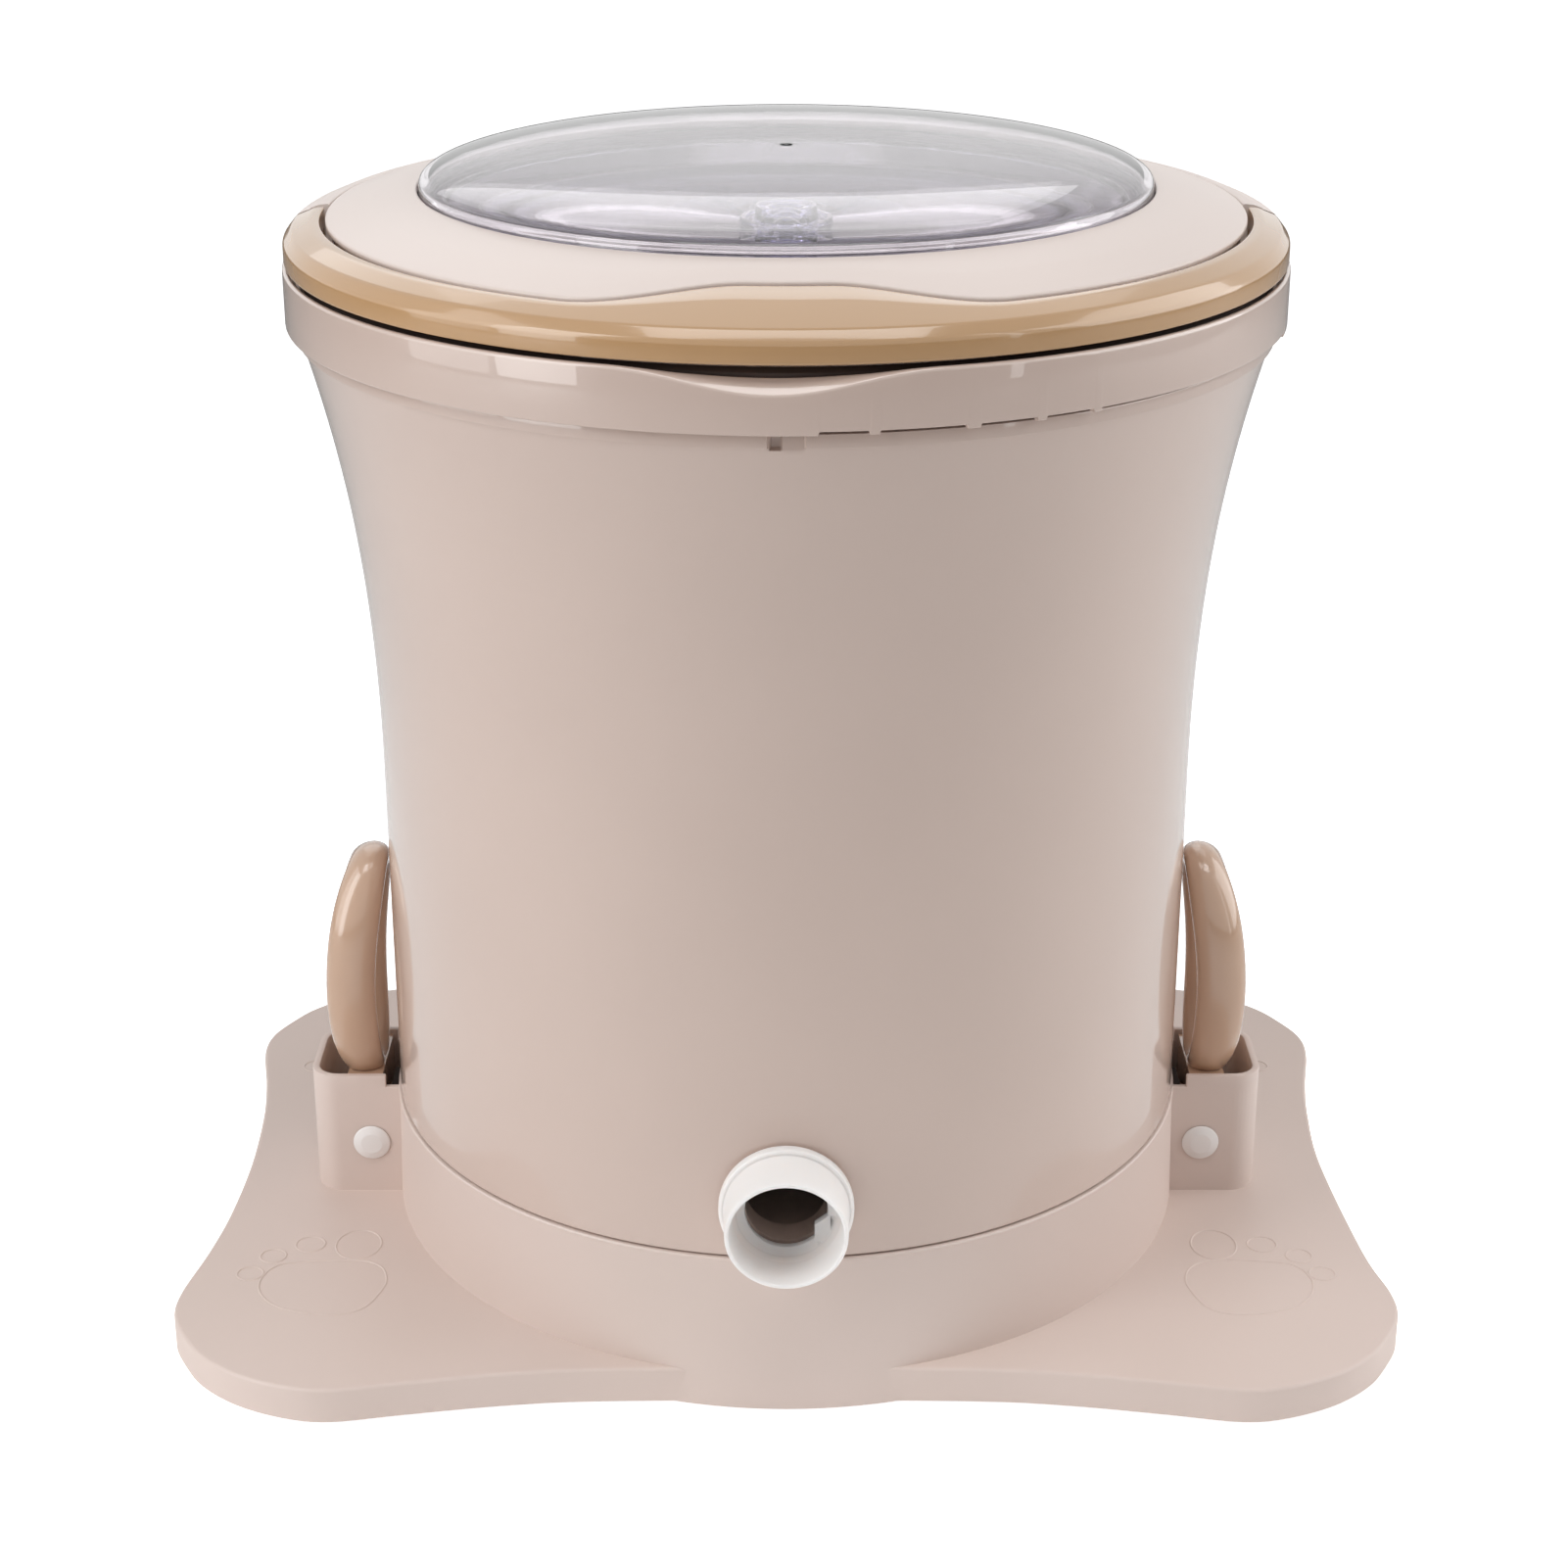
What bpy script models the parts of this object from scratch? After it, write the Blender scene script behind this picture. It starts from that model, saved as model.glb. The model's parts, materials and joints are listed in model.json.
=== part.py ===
# Manual spin dryer: a barrel that is pumped up and down over a twisted rod, on a four-lobed foot plate.
# Units are metres, +Z is up, the spout faces -Y. The origin is on the floor, on the spin axis.

import math

import bmesh
import bpy
from mathutils import Matrix, Vector

mm = 0.001
degree = math.pi / 180

# Running and seating gaps
seat_gap = 0.3 * mm
running_gap = 0.35 * mm
cut_overrun = 4.0 * mm

# How finely round pieces are turned
large_steps = 36
small_steps = 16
bead_steps = 10
spout_steps = 20

# Main sizes, which the pieces take theirs from
barrel_radius = 133.0 * mm
flare_gain = 18.2 * mm
rim_top = 337.6 * mm
rim_height = 17.7 * mm
rim_bottom = rim_top - rim_height
collar_top = 53.85 * mm
plate_top = 13.2 * mm
basket_floor_bottom = 99.0 * mm

# Outer barrel
barrel_wall = 2.8 * mm
skirt_step = 3.1 * mm
skirt_depth = 28.15 * mm
skirt_radius = barrel_radius - skirt_step
barrel_shoulder_z = collar_top + seat_gap
skirt_bottom = barrel_shoulder_z - skirt_depth
ledge_height = 4.3 * mm
ledge_top = rim_bottom - seat_gap
ledge_bottom = ledge_top - ledge_height
ledge_depth = 1.0 * mm
ledge_gap_right = 5.0 * mm
ledge_gap_left = 4.0 * mm
flare_height = 150.3 * mm
flare_start = ledge_bottom - flare_height
flare_power = 2.394
flare_row_shares = (0.0, 0.35, 0.6, 0.81, 1.0)
flare_inner_row_shares = (1.0, 0.78, 0.45, 0.0)
neck_step = 0.6 * mm
neck_radius = barrel_radius + flare_gain - neck_step
floor_lift = 0.25 * mm
floor_wall = 3.0 * mm
floor_bottom = barrel_shoulder_z + floor_lift
floor_top = floor_bottom + floor_wall

# Rim ring pressed over the barrel's neck
rim_overhang = 5.3 * mm
rim_radius = neck_radius + rim_overhang
rim_wall = 2.5 * mm
rim_edge_round = 0.8 * mm
rim_mouth_inset = 19.9 * mm
rim_mouth_radius = rim_radius - rim_mouth_inset
rim_shoulder_inset = 3.6 * mm
rim_shoulder_radius = neck_radius - rim_shoulder_inset
rim_shoulder_drop = 7.3 * mm
rim_shoulder_z = rim_top - rim_shoulder_drop
neck_top = rim_shoulder_z - seat_gap
scoop_radius = 190.0 * mm
scoop_drop = 6.2 * mm
scoop_reach = 8.0 * mm

# The lid and the bail share one sloping top surface
bail_inset = 0.6 * mm
bail_width = 11.8 * mm
grip_gap = 1.5 * mm
lid_ring_width = 28.2 * mm
bail_radius = rim_radius - bail_inset
bail_bore = bail_radius - bail_width
lid_radius = bail_bore - grip_gap
dome_hole = lid_radius - lid_ring_width
lid_gap = 1.8 * mm
lid_rise = 20.0 * mm
lid_bottom = rim_top + lid_gap
dome_hole_z = lid_bottom + lid_rise
top_slope = 0.281
lid_wall = 2.4 * mm
lid_edge_round = 0.8 * mm
lid_crown = 0.25 * mm
lid_undercut = 2.6 * mm
lid_undercut_drop = 5.2 * mm
bail_gap = 1.3 * mm
bail_bottom = rim_top + bail_gap
bail_wall = 2.0 * mm
bail_round_inset = 5.1 * mm
bail_round_radius = bail_radius - bail_round_inset
bail_side_height = 5.7 * mm
bail_side_top = bail_bottom + bail_side_height
bail_round_mid_inset = 1.5 * mm
bail_round_mid_drop = 2.0 * mm
bail_lip_round = 0.8 * mm
grip_steps = 3
grip_depth = 14.2 * mm
grip_wave_angle = 25.4 * degree
grip_flat_angle = 4.8 * degree
bail_pivot_height = 4.3 * mm
bail_pivot_z = bail_bottom + bail_pivot_height
bail_pivot_setback = 4.8 * mm
bail_ear_radius = 3.5 * mm
bail_ear_inset = 2.8 * mm
bail_ear_thickness = 3.1 * mm
bail_ear_inner_x = bail_bore + bail_ear_inset
bail_ear_outer_x = bail_ear_inner_x + bail_ear_thickness
bail_pin_radius = 1.6 * mm
bail_pin_inset = 0.4 * mm
bail_pin_cover = 1.3 * mm
bail_pin_inner_x = bail_bore + bail_pin_inset
bail_pin_outer_x = bail_radius - bail_pin_cover
bail_end_chamfer_height = 3.2 * mm
bail_end_chamfer_depth = 2.6 * mm
bail_cover_height = 1.8 * mm
bail_cover_start_angle = 11 * degree
rear_sweep_radius = 9.5 * mm
rear_sweep_notch = 8.5 * mm
rear_sweep_notch_width = 6.15 * mm
rear_sweep_notch_rise = 2.4 * mm
rear_cover_bottom = rim_top + seat_gap
rear_cover_gap = 0.4 * mm
rear_seam = 0.45 * mm
rear_cover_bore = lid_radius + rear_seam

# Lid hinge in the rear cover
hinge_setback = 5.0 * mm
hinge_height = 5.6 * mm
hinge_y = lid_radius + hinge_setback
hinge_z = lid_bottom + hinge_height
hinge_pin_radius = 2.0 * mm
hinge_pin_half = 27.0 * mm
knuckle_radius = 4.2 * mm
knuckle_inner_x = 9.0 * mm
knuckle_outer_x = 19.0 * mm
knuckle_lap = 4.8 * mm
knuckle_root_y = lid_radius - knuckle_lap
hinge_block_half = 29.0 * mm
hinge_block_rise = 3.6 * mm
hinge_block_top = hinge_z + hinge_block_rise
notch_half = 21.0 * mm
notch_reach = 4.8 * mm
notch_outer_y = hinge_y + notch_reach
notch_margin = 0.5 * mm
notch_floor = hinge_z - knuckle_radius - notch_margin

# Dome window, its seal and the clear inner cover with the spindle hub
dome_wall = 2.0 * mm
dome_flange_lap = 1.8 * mm
dome_flange_drop = 4.2 * mm
dome_flange_height = 1.8 * mm
dome_rise = 15.0 * mm
dome_flange_radius = dome_hole + dome_flange_lap
dome_flange_top = dome_hole_z - dome_flange_drop
dome_flange_bottom = dome_flange_top - dome_flange_height
dome_top = dome_flange_top + dome_rise
dome_profile_shares = ((1.0, 0.0), (0.985, 0.52), (0.925, 0.76), (0.7, 0.94))
seal_height = 0.5 * mm
seal_inset = 0.1 * mm
seal_inner = dome_hole + seal_inset
cover_rim_height = 2.2 * mm
cover_rim_width = 9.6 * mm
cover_dish_slope = 6.0 * mm
cover_dish_depth = 5.9 * mm
cover_rim_top = dome_flange_bottom - seat_gap
cover_rim_bottom = cover_rim_top - cover_rim_height
cover_rim_inner = dome_flange_radius - cover_rim_width
cover_dish_radius = cover_rim_inner - cover_dish_slope
cover_plate_top = cover_rim_bottom - cover_dish_depth
cover_plate_wall = 2.0 * mm
hub_dome_radius = 9.8 * mm
hub_rise = 5.4 * mm
hub_dome_top = cover_plate_top + hub_rise
hub_radius = 10.2 * mm
hub_wall = 2.9 * mm
hub_depth = 9.0 * mm
hub_bottom = cover_plate_top - hub_depth
hub_bore = hub_radius - hub_wall
hub_roof = 1.0 * mm
hub_bore_top = cover_plate_top - hub_roof
bridge_half_length = 66.0 * mm
bridge_near = 17.0 * mm
bridge_far = 44.0 * mm
bridge_far_end = 31.0 * mm
bridge_height = 1.6 * mm
block_half = 19.5 * mm
block_near = 18.6 * mm
block_far = 46.0 * mm
block_height = 3.4 * mm

# Drain spout
spout_z = 73.4 * mm
spout_mouth_radius = 18.6 * mm
spout_taper = 0.6 * mm
spout_wall = 2.3 * mm
spout_root_radius = spout_mouth_radius + spout_taper
spout_boss_radius = spout_root_radius
spout_flange_lap = 1.45 * mm
spout_flange_radius = spout_root_radius + spout_flange_lap
spout_boss_stand = 0.6 * mm
spout_boss_depth = 9.0 * mm
spout_boss_face = barrel_radius + spout_boss_stand
spout_boss_back = barrel_radius - spout_boss_depth
spout_flange_height = 3.5 * mm
spout_flange_front = spout_boss_face + seat_gap + spout_flange_height
spout_reach = 14.6 * mm
spout_mouth_y = spout_flange_front + spout_reach
spout_mouth_bore = spout_mouth_radius - spout_wall
spigot_step = 0.2 * mm
spigot_radius = spout_mouth_bore + spigot_step
spout_bore = spigot_radius - spout_wall
spigot_overrun = 1.4 * mm
spigot_end_y = spout_boss_back - spigot_overrun
seal_groove_depth = 1.1 * mm
seal_groove_radius = spigot_radius - seal_groove_depth
seal_groove_place = 4.0 * mm
seal_groove_y = spout_boss_back + seal_groove_place
seal_groove_width = 2.4 * mm

# Collar that the barrel nests in
collar_gap = 0.6 * mm
collar_wall = 3.0 * mm
collar_taper = 2.0 * mm
collar_bore = skirt_radius + collar_gap
collar_radius_top = collar_bore + collar_wall
collar_radius_floor = collar_radius_top + collar_taper

# Latch brackets moulded beside the collar, their pins and rings
bracket_half_width = 19.0 * mm
bracket_reach = 29.5 * mm
bracket_outer_x = collar_radius_top + bracket_reach
bracket_wall = 2.4 * mm
bracket_corner = 9.5 * mm
bracket_rise = 3.65 * mm
bracket_top = collar_top + bracket_rise
bracket_step = 3.5 * mm
bracket_step_x = collar_radius_top + bracket_step
bracket_step_drop = 4.2 * mm
latch_pin_reach = 9.3 * mm
latch_pin_x = collar_radius_top + latch_pin_reach
latch_pin_drop = 25.4 * mm
latch_pin_z = bracket_top - latch_pin_drop
latch_pin_radius = 3.2 * mm
latch_head_radius = 6.4 * mm
latch_head_height = 1.6 * mm
latch_eye_radius = 8.2 * mm
latch_ring_lift = 2.5 * mm
latch_ring_bottom = bracket_top + latch_ring_lift
latch_ring_height = 75.6 * mm
latch_ring_top = latch_ring_bottom + latch_ring_height
latch_ring_half_width = 21.0 * mm
latch_tube_half_y = 5.5 * mm
latch_tube_half_x = 8.3 * mm
latch_tube_end_half_x = 6.2 * mm
latch_bow_reach = 13.7 * mm
latch_bow_x = collar_radius_top + latch_bow_reach
latch_bow_lift = 28.0 * mm
latch_bow_z = latch_ring_bottom + latch_bow_lift
latch_bow_radius = 125.0 * mm
latch_stem_gap = 3.5 * mm
latch_stem_depth = 13.5 * mm
latch_stem_lap = 8.0 * mm
latch_stem_inner_x = collar_radius_top + latch_stem_gap
latch_stem_outer_x = latch_stem_inner_x + latch_stem_depth
latch_stem_top = latch_ring_bottom + latch_stem_lap
latch_oval_power = 2.25
pad_drop = 5.85 * mm
pad_height = 8.0 * mm
pad_top = collar_top - pad_drop
pad_bottom = pad_top - pad_height
pad_half_width = 6.5 * mm
window_margin = 1.2 * mm
window_drop = 2.05 * mm
window_top = collar_top - window_drop

# Foot plate
foot_drop = 1.2 * mm
plate_wall = 3.0 * mm
plate_edge_round = 1.5 * mm
plate_side_reach = 35.6 * mm
plate_front_reach = 9.8 * mm
plate_half_width = bracket_outer_x + plate_side_reach
plate_half_depth = barrel_radius + plate_front_reach
plate_outline_shares = (
    (0.953, 0.0), (0.960, 0.245), (0.975, 0.42), (0.998, 0.60), (0.995, 0.70), (0.966, 0.79), (0.93, 0.865),
    (0.87, 0.935), (0.79, 0.985), (0.715, 1.0), (0.60, 0.972), (0.45, 0.938), (0.30, 0.920), (0.0, 0.9165),
)
rib_thickness = 2.4 * mm
rib_bottom = 4.0 * mm
rib_y_place_share = 0.49
rib_x_reach_share = 0.977

# Rubber feet under the lobes
foot_radius = 14.0 * mm
foot_plug_radius = 4.7 * mm
foot_boss_wall = 3.0 * mm
foot_boss_radius = foot_radius + foot_boss_wall
foot_plug_depth = 5.0 * mm
foot_x_share = 0.80
foot_y_share = 0.77

# Bearings, and the heights that the drive stacks up from
race_outer_radius = 21.0 * mm
race_bore_share = 15 / 21
race_inner_bore = race_outer_radius * race_bore_share
race_wall = 1.6 * mm
race_outer_bore = race_outer_radius - race_wall
race_inner_radius = race_inner_bore + race_wall
race_height = 7.0 * mm
drive_lift = 39.3 * mm
lower_race_z = basket_floor_bottom + drive_lift
guide_drop = 2.3 * mm
guide_top = lower_race_z - guide_drop
race_pitch = 20.0 * mm
upper_race_z = lower_race_z + race_pitch
spacer_step = 0.2 * mm
spacer_bore = race_outer_bore + spacer_step
ball_circle = (race_outer_bore + race_inner_radius) / 2
ball_radius = 1.0 * mm
ball_count = 12
ball_steps = 3
cage_radius = 0.6 * mm

# Guide tube and twisted rod on the foot base
guide_inset = 2.0 * mm
guide_radius = race_outer_radius - guide_inset
guide_wall = 3.0 * mm
guide_bore = guide_radius - guide_wall
guide_flange_lap = 15.0 * mm
guide_flange_radius = guide_radius + guide_flange_lap
guide_flange_height = 3.0 * mm
screw_inset = 7.0 * mm
screw_circle = guide_flange_radius - screw_inset
screw_first_angle = 97.5 * degree
screw_head_radius = 3.4 * mm
screw_head_height = 2.2 * mm
screw_radius = 1.6 * mm
screw_reach = 7.6 * mm
screw_tip_z = plate_top - screw_reach
rod_boss_lap = 2.0 * mm
rod_boss_radius = guide_flange_radius + rod_boss_lap
rod_pocket_roof = 4.5 * mm
rod_pocket_top = plate_top - rod_pocket_roof
rod_side_share = 8 / 15
rod_side = race_inner_bore * rod_side_share
rod_lead = 60.0 * mm
rod_plain_lift = 2.0 * mm
rod_plain_top = guide_top + rod_plain_lift
rod_twist_overlap = 1.5 * mm
rod_travel = 102.0 * mm
rod_top = rod_plain_top + rod_travel
rod_round = 1.4 * mm
rod_plain_radius = rod_side / 2 + rod_round
rod_shank_step = 0.5 * mm
rod_shank_radius = rod_plain_radius - rod_shank_step
rod_shoulder_lap = 6.6 * mm
rod_shoulder_radius = rod_plain_radius + rod_shoulder_lap
rod_shoulder_height = 5.0 * mm
rod_shank_drop = 10.8 * mm
rod_shank_bottom = plate_top - rod_shank_drop
rod_washer_lap = 4.6 * mm
rod_washer_radius = rod_shank_radius + rod_washer_lap
rod_pocket_gap = 1.5 * mm
rod_pocket_radius = rod_washer_radius + rod_pocket_gap
rod_washer_height = 1.2 * mm
rod_nut_lap = 3.7 * mm
rod_nut_radius = rod_shank_radius + rod_nut_lap
rod_nut_height = 3.8 * mm
rod_step_angle = 12 * degree

# Hub housing in the barrel floor, with its bush
housing_wall = 4.5 * mm
housing_radius = race_outer_radius + housing_wall
floor_hole_gap = 4.5 * mm
floor_hole = housing_radius + floor_hole_gap
housing_flange_lap = 16.0 * mm
housing_flange_radius = floor_hole + housing_flange_lap
housing_flange_height = 3.0 * mm
housing_lip = 0.7 * mm
housing_top = upper_race_z + race_height + housing_lip
housing_fillet = 4.0 * mm
housing_gasket_height = 1.0 * mm
bush_wall = 3.0 * mm
bush_radius = guide_radius + bush_wall
bush_height = 19.3 * mm
bush_top = floor_bottom + bush_height
housing_waist_step = 0.4 * mm
housing_waist = race_outer_radius - housing_waist_step
cap_height = 2.5 * mm
cap_lip = 2.4 * mm
cap_bore = race_outer_radius - cap_lip
cap_spigot_drop = 0.4 * mm
shaft_seal_lift = 0.2 * mm
shaft_seal_height = 3.2 * mm
shaft_seal_bottom = housing_top + shaft_seal_lift
shaft_seal_top = shaft_seal_bottom + shaft_seal_height
shaft_seal_gap = 0.5 * mm

# Rotating shaft, one-way clutch and drive nut
shaft_radius = race_inner_bore - seat_gap
shaft_bore_share = 123 / 147
shaft_bore = shaft_radius * shaft_bore_share
shaft_drop = 1.4 * mm
shaft_bottom = lower_race_z - shaft_drop
shaft_throat_gap = 3.6 * mm
shaft_throat = rod_side / 2 + shaft_throat_gap
shaft_flange_lap = 2.0 * mm
shaft_flange_radius = housing_radius + shaft_flange_lap
shaft_flange_lift = 1.6 * mm
shaft_flange_height = 3.5 * mm
shaft_flange_bottom = shaft_seal_top + shaft_flange_lift
shaft_flange_top = shaft_flange_bottom + shaft_flange_height
clutch_radius = shaft_bore - seat_gap
circlip_drop = 0.7 * mm
circlip_height = 1.3 * mm
circlip_bottom = lower_race_z - circlip_drop
circlip_top = circlip_bottom + circlip_height
drive_gap = 0.4 * mm
nut_bottom = circlip_top + drive_gap
nut_flange_height = 1.5 * mm
nut_flange_top = nut_bottom + nut_flange_height
clutch_bottom = nut_flange_top + drive_gap
clutch_height = 16.2 * mm
clutch_top = clutch_bottom + clutch_height
shaft_throat_z = clutch_top + drive_gap
nut_height = 17.9 * mm
nut_top = nut_bottom + nut_height
nut_share = 173 / 160
nut_radius = rod_side * nut_share
clutch_bore = nut_radius + running_gap
nut_flange_gap = 0.7 * mm
nut_flange_radius = shaft_bore - nut_flange_gap
circlip_bore_gap = 0.2 * mm
circlip_bore = clutch_bore + circlip_bore_gap

# Basket, its centre column and the top spindle
basket_gap = 6.2 * mm
basket_wall = 2.0 * mm
basket_floor_wall = 3.0 * mm
basket_corner = 6.0 * mm
basket_drop = 12.3 * mm
basket_top = ledge_bottom - basket_drop
basket_lip = 3.0 * mm
basket_columns = 16
slot_share = 0.3
slot_rows = 2
slot_lift = 15.0 * mm
slot_margin = 21.0 * mm
slot_web = 12.0 * mm
slot_first_z = basket_floor_bottom + slot_lift
slot_height = (basket_top - slot_margin - slot_first_z - slot_web * (slot_rows - 1)) / slot_rows
column_bell_gap = 1.1 * mm
column_bell_bore = shaft_flange_radius + column_bell_gap
column_wall = 3.0 * mm
column_waist_radius = column_bell_bore + column_wall
column_foot_lap = 8.4 * mm
column_foot_radius = column_waist_radius + column_foot_lap
column_flange_lap = 8.0 * mm
column_flange_radius = column_foot_radius + column_flange_lap
column_flange_height = 3.0 * mm
column_foot_wall = 6.0 * mm
column_foot_bore = column_foot_radius - column_foot_wall
basket_floor_lap = 3.0 * mm
basket_floor_hole = column_foot_bore + basket_floor_lap
column_shelf_bottom = shaft_flange_top + seat_gap
column_shelf_height = 3.4 * mm
column_neck_rise = 11.2 * mm
column_neck_z = column_shelf_bottom + column_neck_rise
column_bore_gap = 4.2 * mm
column_bore = rod_side / 2 + column_bore_gap
column_neck_wall = 5.8 * mm
column_neck_radius = column_bore + column_neck_wall
column_top_wall = 2.8 * mm
column_top_radius = column_bore + column_top_wall
column_bore_rise = 5.5 * mm
column_bore_top = rod_top + column_bore_rise
column_cap = 10.5 * mm
column_top = column_bore_top + column_cap
spindle_radius = 4.2 * mm
spindle_tip_radius = 2.6 * mm
spindle_taper = 4.0 * mm
spindle_end_gap = 1.0 * mm
spindle_top = hub_bore_top - spindle_end_gap
spindle_flange_radius = 8.0 * mm
spindle_flange_height = 2.4 * mm
spindle_stud_lift = 3.5 * mm
spindle_stud_bottom = column_bore_top + spindle_stud_lift
lid_bush_gap = 0.55 * mm
lid_bush_bore = spindle_radius + lid_bush_gap
lid_bush_radius = hub_bore - seat_gap
lid_bush_bottom = hub_bottom + seat_gap
lid_bush_top = hub_bore_top - seat_gap


# Scene and materials

for old in list(bpy.data.objects):
    bpy.data.objects.remove(old, do_unlink=True)


def surface(name, colour, roughness, metallic=0.0, alpha=1.0):
    material = bpy.data.materials.new(name)
    material.use_nodes = True
    shader = material.node_tree.nodes["Principled BSDF"]
    shader.inputs["Base Color"].default_value = (*colour, 1.0)
    shader.inputs["Roughness"].default_value = roughness
    shader.inputs["Metallic"].default_value = metallic
    shader.inputs["Alpha"].default_value = alpha
    material.diffuse_color = (*colour, alpha)
    return material


taupe = surface("pearl_taupe", (0.52, 0.40, 0.33), 0.28, 0.15)
blush = surface("pale_blush", (0.79, 0.68, 0.62), 0.35)
tan = surface("tan_gloss", (0.45, 0.28, 0.16), 0.2)
white = surface("white_plastic", (0.83, 0.81, 0.79), 0.35)
clear = surface("clear_plastic", (0.85, 0.85, 0.9), 0.05, 0.0, 0.3)
steel = surface("steel", (0.62, 0.62, 0.63), 0.3, 1.0)
rubber = surface("dark_rubber", (0.05, 0.05, 0.05), 0.8)
nylon = surface("nylon", (0.75, 0.73, 0.68), 0.45)
brass = surface("brass", (0.72, 0.53, 0.25), 0.3, 1.0)


# Building blocks

def add_object(name, mesh, material):
    shape = bpy.data.objects.new(name, mesh)
    mesh.materials.append(material)
    bpy.context.collection.objects.link(shape)
    mesh.shade_smooth()
    mesh.set_sharp_from_angle(angle=30 * degree)
    return shape


def mesh_of(name, points, faces):
    mesh = bpy.data.meshes.new(name)
    mesh.from_pydata([tuple(point) for point in points], [], faces)
    work = bmesh.new()
    work.from_mesh(mesh)
    bmesh.ops.recalc_face_normals(work, faces=work.faces)
    work.to_mesh(mesh)
    work.free()
    return mesh


def loft(name, sections, material, closed):
    """A solid through equal rings of points; its ends are capped unless it closes on itself."""
    count = len(sections[0])
    points = [point for section in sections for point in section]
    faces = []
    spans = len(sections) if closed else len(sections) - 1
    for i in range(spans):
        first = i * count
        second = ((i + 1) % len(sections)) * count
        for j in range(count):
            k = (j + 1) % count
            faces.append((first + j, first + k, second + k, second + j))
    if not closed:
        faces.append(tuple(range(count)))
        faces.append(tuple(range(len(points) - count, len(points))))
    return add_object(name, mesh_of(name, points, faces), material)


def turned(name, profile, material, steps=small_steps, axis="Z", at=(0, 0, 0)):
    """A closed (radius, height) outline turned about an axis; a radius of zero makes a pole."""
    turns = {"Z": Matrix.Identity(3), "X": Matrix(((0, 0, 1), (1, 0, 0), (0, 1, 0))),
             "Y": Matrix(((0, 1, 0), (0, 0, 1), (1, 0, 0)))}
    points = []
    rings = []
    for radius, height in profile:
        if radius == 0:
            rings.append([len(points)] * steps)
            points.append(Vector((0, 0, height)))
            continue
        rings.append(list(range(len(points), len(points) + steps)))
        for i in range(steps):
            angle = i * math.tau / steps
            points.append(Vector((radius * math.cos(angle), radius * math.sin(angle), height)))
    faces = []
    for i in range(len(rings)):
        ring = rings[i]
        after = rings[(i + 1) % len(rings)]
        for j in range(steps):
            k = (j + 1) % steps
            corners = [ring[j], ring[k], after[k], after[j]]
            face = [corner for n, corner in enumerate(corners) if corner not in corners[:n]]
            if len(face) > 2:
                faces.append(face)
    placed = [turns[axis] @ point + Vector(at) for point in points]
    return add_object(name, mesh_of(name, placed, faces), material)


def prism(name, outline, low, high, material, axis="Z"):
    """An outline pushed along an axis. Along X the outline is (y, z), along Y it is (x, z)."""
    def place(u, v, w):
        return {"Z": (u, v, w), "X": (w, u, v), "Y": (u, w, v)}[axis]
    ends = [[place(u, v, w) for u, v in outline] for w in (low, high)]
    return loft(name, ends, material, closed=False)


def box(name, low, high, material):
    outline = ((low[0], low[1]), (high[0], low[1]), (high[0], high[1]), (low[0], high[1]))
    return prism(name, outline, low[2], high[2], material)


def rod_shape(name, radius, low, high, material, axis="Z", at=(0, 0, 0), steps=small_steps):
    return turned(name, ((0, low), (radius, low), (radius, high), (0, high)), material, steps, axis, at)


def boolean(target, tool, operation):
    modifier = target.modifiers.new(operation.lower() + " " + tool.name, "BOOLEAN")
    modifier.operation = operation
    modifier.object = tool
    tool.hide_render = True
    tool.display_type = "WIRE"
    tool.parent = target
    return target


def cut(target, tool):
    return boolean(target, tool, "DIFFERENCE")


def weld(target, tool):
    return boolean(target, tool, "UNION")


def joint(name, at=(0, 0, 0), carrier=None):
    """An empty on a joint's axis; the moving pieces are parented to it."""
    empty = bpy.data.objects.new(name, None)
    bpy.context.collection.objects.link(empty)
    empty.location = Vector(at)
    empty.parent = carrier
    bpy.context.view_layer.update()
    if carrier:
        empty.matrix_parent_inverse = carrier.matrix_world.inverted()
        bpy.context.view_layer.update()
    return empty


def carry(empty, *shapes):
    for shape in shapes:
        shape.parent = empty
        shape.matrix_parent_inverse = empty.matrix_world.inverted()


def smooth(share):
    share = min(max(share, 0.0), 1.0)
    return share * share * (3 - 2 * share)


def arc(centre, radius, start, end, count):
    angles = [start + (end - start) * i / count for i in range(count + 1)]
    return [(centre[0] + radius * math.cos(a), centre[1] + radius * math.sin(a)) for a in angles]


def inward(outline, distance):
    """The outline moved inward by a distance, for an outline that runs anticlockwise."""
    result = []
    for i, point in enumerate(outline):
        along = (outline[(i + 1) % len(outline)] - outline[i - 1]).normalized()
        result.append(point + Vector((-along.y, along.x)) * distance)
    return result


def mirrored(name, side):
    return name + ("_right" if side > 0 else "_left")


# Foot base: lobed plate, collar, brackets, ribs and bosses in one moulding

def plate_outline():
    quarter = [(x * plate_half_width, y * plate_half_depth) for x, y in plate_outline_shares]
    rear_left = [(-x, y) for x, y in reversed(quarter[:-1])]
    front_left = [(x, -y) for x, y in reversed(rear_left[:-1])]
    front_right = [(x, -y) for x, y in reversed(quarter[1:])]
    return [Vector(place) for place in quarter + rear_left + front_left + front_right]


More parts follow.
